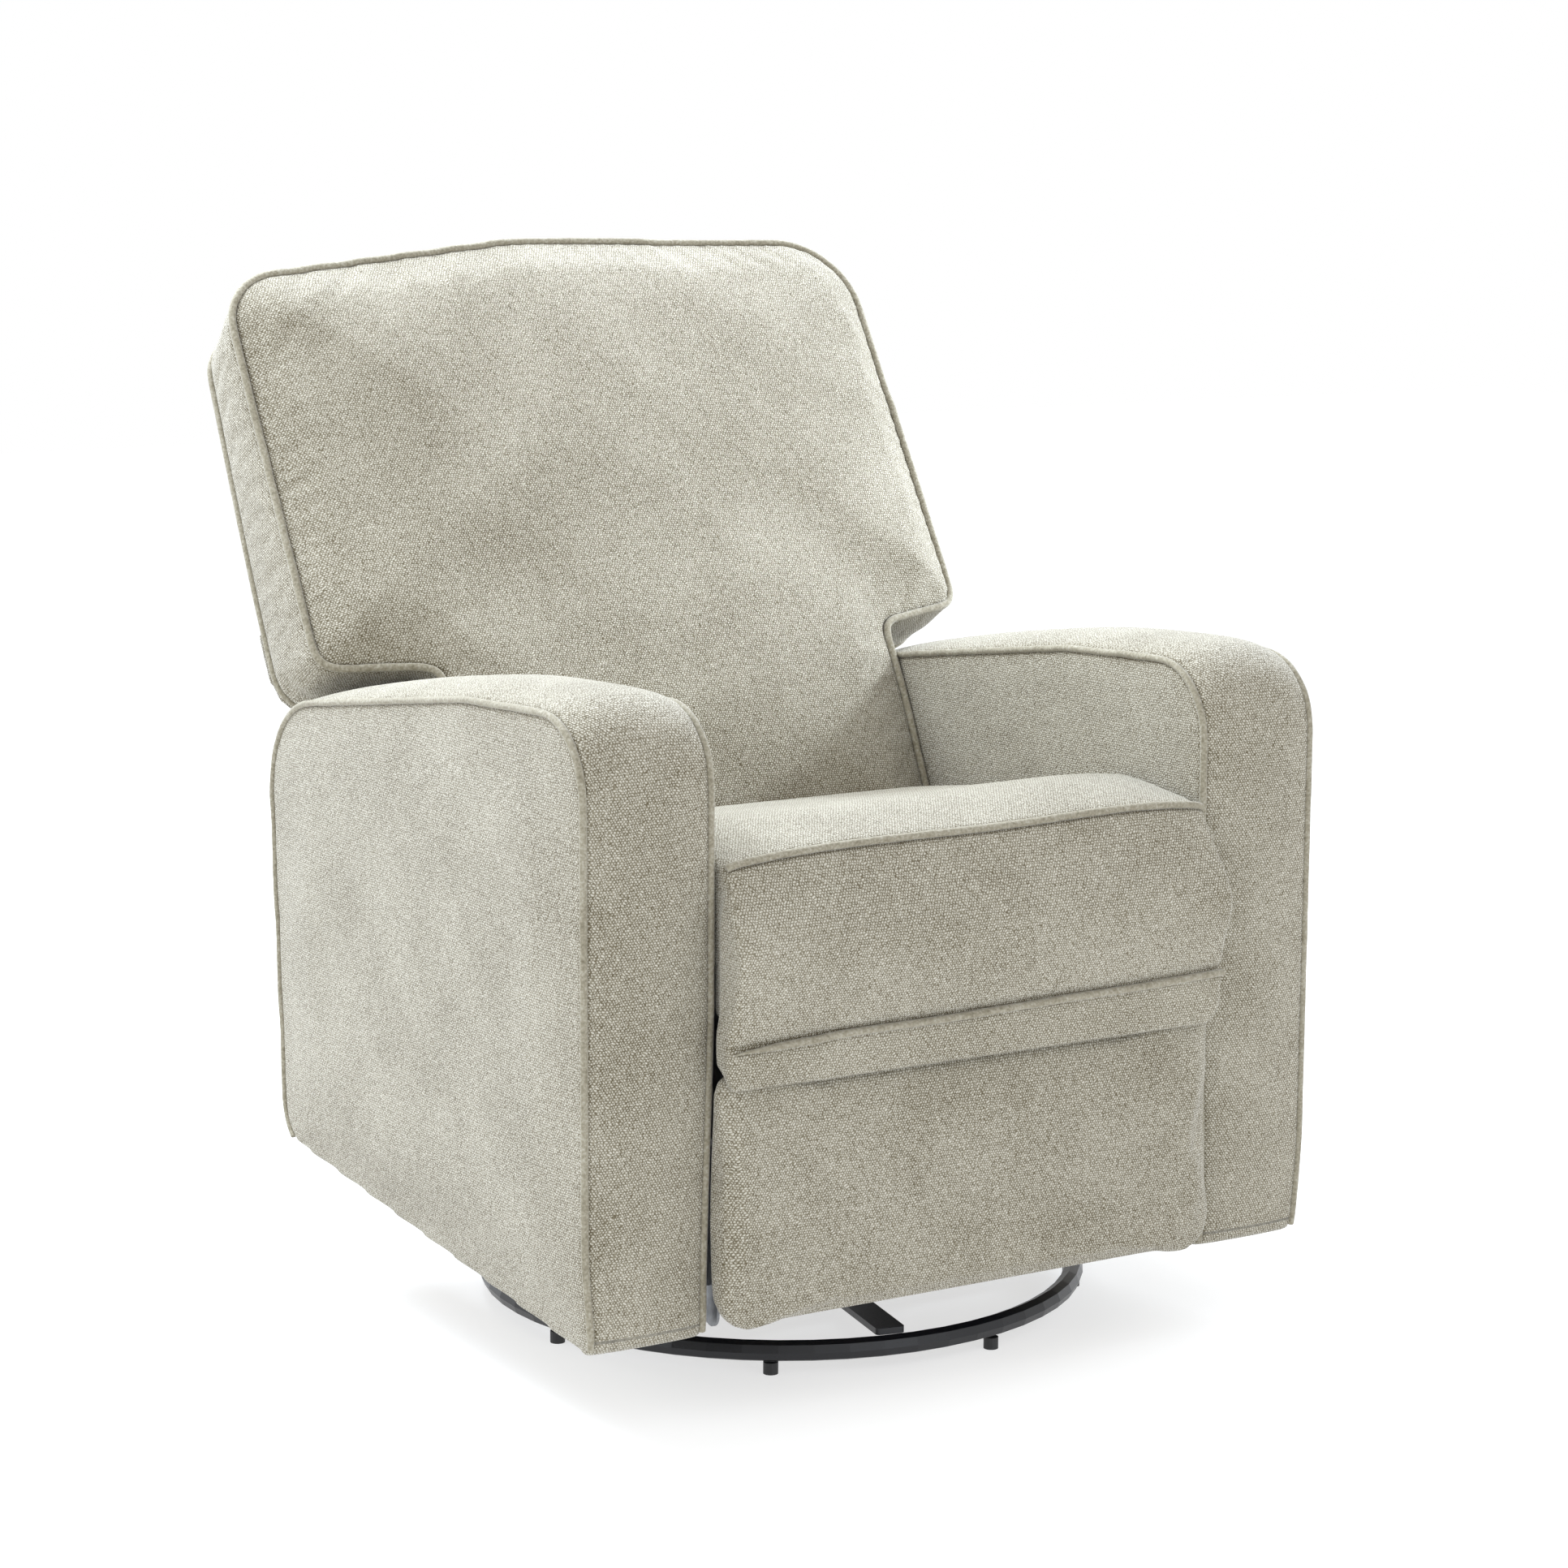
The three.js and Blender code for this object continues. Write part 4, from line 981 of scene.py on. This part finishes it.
# %% Sew the leg-rest pad
PAD_LOW, PAD_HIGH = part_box("legrest_pad")
PAD_HALF = SEAT_HALF + 8 * MM
PAD_SHIFT = -3 * MM
PAD_BOTTOM = PAD_LOW[2]
PAD_TOP = 311 * MM
PAD_FRONT = PAD_LOW[1] + 2 * MM
PAD_REAR = ARM_FRONT - 2 * MM
BOARD_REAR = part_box("legrest_board")[1][1] + 1.5 * MM
pad_edge = rounded_outline(mirrored([(PAD_HALF, PAD_BOTTOM, 36 * MM), (PAD_HALF - 2 * MM, PAD_TOP, 12 * MM)]))
pad_edge[:, 0] += PAD_SHIFT
board_edge = rounded_outline(mirrored([
    (SEAT_HALF - 6 * MM, PAD_BOTTOM + 5 * MM, 30 * MM), (SEAT_HALF - 6 * MM, PAD_TOP - 8 * MM, 12 * MM)]))
pad = joined(
    slab("legrest_pad_cover", pad_edge, PAD_FRONT, PAD_REAR, (0, 2, 1)),
    slab("legrest_pad_wrap", board_edge, PAD_REAR - 4 * MM, BOARD_REAR, (0, 2, 1)))
remesh(pad, 5 * MM)
soften(pad, 3)
pad_rear_seam = np.column_stack([board_edge[:, 0], np.full(len(board_edge), BOARD_REAR), board_edge[:, 1]])
swell(pad, near(pad, pad_rear_seam), pressure=2.5, cap=6 * MM)
points = get_points(pad)
flat_rear = points[:, 1] > BOARD_REAR - 4 * MM
points[flat_rear, 1] = np.minimum(points[flat_rear, 1], BOARD_REAR)
fullness = smooth((PAD_REAR - points[:, 1]) / (10 * MM)) * smooth((PAD_TOP - 16 * MM - points[:, 2]) / (50 * MM))
points[:, 1] -= fullness * 6 * MM
set_points(pad, points)
subdivide(pad)
panel_map(pad)
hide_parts("legrest_pad")
finish_piece(pad, chenille, "legrest_panel")

# %% [markdown]
# ## Rivets
# Every pivot of the steelwork turns on a shouldered rivet. Its low domed head shows on the outer face of each
# plate. One Geometry Nodes tree puts a head on each point it is given.

# %% Rivet heads
RIVET_RADIUS = 8 * MM
RIVET_HEIGHT = 3 * MM
PIVOT_INSET = 13 * MM


def rivet_tree():
    tree, given = new_geometry_tree("rivets", ("Radius", "Height"))
    ball = add_node(tree, "GeometryNodeMeshUVSphere", {"Segments": 20, "Rings": 12, "Radius": 1.0}).outputs[0]
    size = add_node(tree, "ShaderNodeCombineXYZ", {0: given["Height"], 1: given["Radius"], 2: given["Radius"]})
    head = add_node(tree, "GeometryNodeTransform", {"Geometry": ball, "Scale": size.outputs[0]}).outputs[0]
    points = add_node(tree, "GeometryNodeMeshToPoints", {0: given["Geometry"]}).outputs[0]
    heads = add_node(tree, "GeometryNodeInstanceOnPoints", {"Points": points, "Instance": head}).outputs[0]
    end_tree(tree, heads, given["Material"])
    return tree


RIVETS = rivet_tree()


def rivets(name, body, places):
    """Rivet heads at places in X, Y and Z, and their mirror images at minus X."""
    mesh = bpy.data.meshes.new(name)
    mesh.from_pydata([(side * x, y, z) for side in (-1, 1) for x, y, z in places], [], [])
    heads = bpy.data.objects.new(name, mesh)
    scene.collection.objects.link(heads)
    metal = FINISHES["mechanism_steel"]
    grow(heads, RIVETS, Radius=RIVET_RADIUS, Height=RIVET_HEIGHT, Material=metal)
    finish_piece(heads, metal, body)


RAIL_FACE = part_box("glide_rail_right")[1][0]
BRACKET_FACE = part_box("glide_bracket_right")[0][0]
SIDE_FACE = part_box("recliner_side_plate_right")[1][0]
front_low, front_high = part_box("glide_link_front_right")
rear_low, rear_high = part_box("glide_link_rear_right")
lower_z = front_low[2] + PIVOT_INSET
upper_z = front_high[2] - PIVOT_INSET
front_y = (front_low[1] + front_high[1]) / 2
rear_y = (rear_low[1] + rear_high[1]) / 2
rivets("rail_rivets", "chassis", [
    (RAIL_FACE, front_y, lower_z), (RAIL_FACE, rear_y, lower_z),
    (SIDE_FACE, *JOINTS["recline"]["pos_m"][1:]), (SIDE_FACE, *JOINTS["legrest"]["pos_m"][1:])])
rivets("turntable_rivets", "turntable", [(BRACKET_FACE, front_y, upper_z), (BRACKET_FACE, rear_y, upper_z)])

# %% [markdown]
# ## The floor
# A plain white floor, lit from within like a studio light table, keeps only a soft shadow under the ring.

# %% The floor
FLOOR_HALF = 9
floor_corners = [(a * FLOOR_HALF, b * FLOOR_HALF, 0) for a, b in ((-1, -1), (1, -1), (1, 1), (-1, 1))]
floor = new_object("studio_floor", floor_corners, [(0, 1, 2, 3)])
white_floor, _, floor_shader = new_material("matt_white_floor")
floor_shader.inputs["Base Color"].default_value = linear("#AAAAAA")
floor_shader.inputs["Roughness"].default_value = 0.9
floor_shader.inputs["Specular IOR Level"].default_value = 0.0
floor_shader.inputs["Emission Color"].default_value = linear("#FFFFFF")
floor_shader.inputs["Emission Strength"].default_value = 0.64
floor.data.materials.append(white_floor)
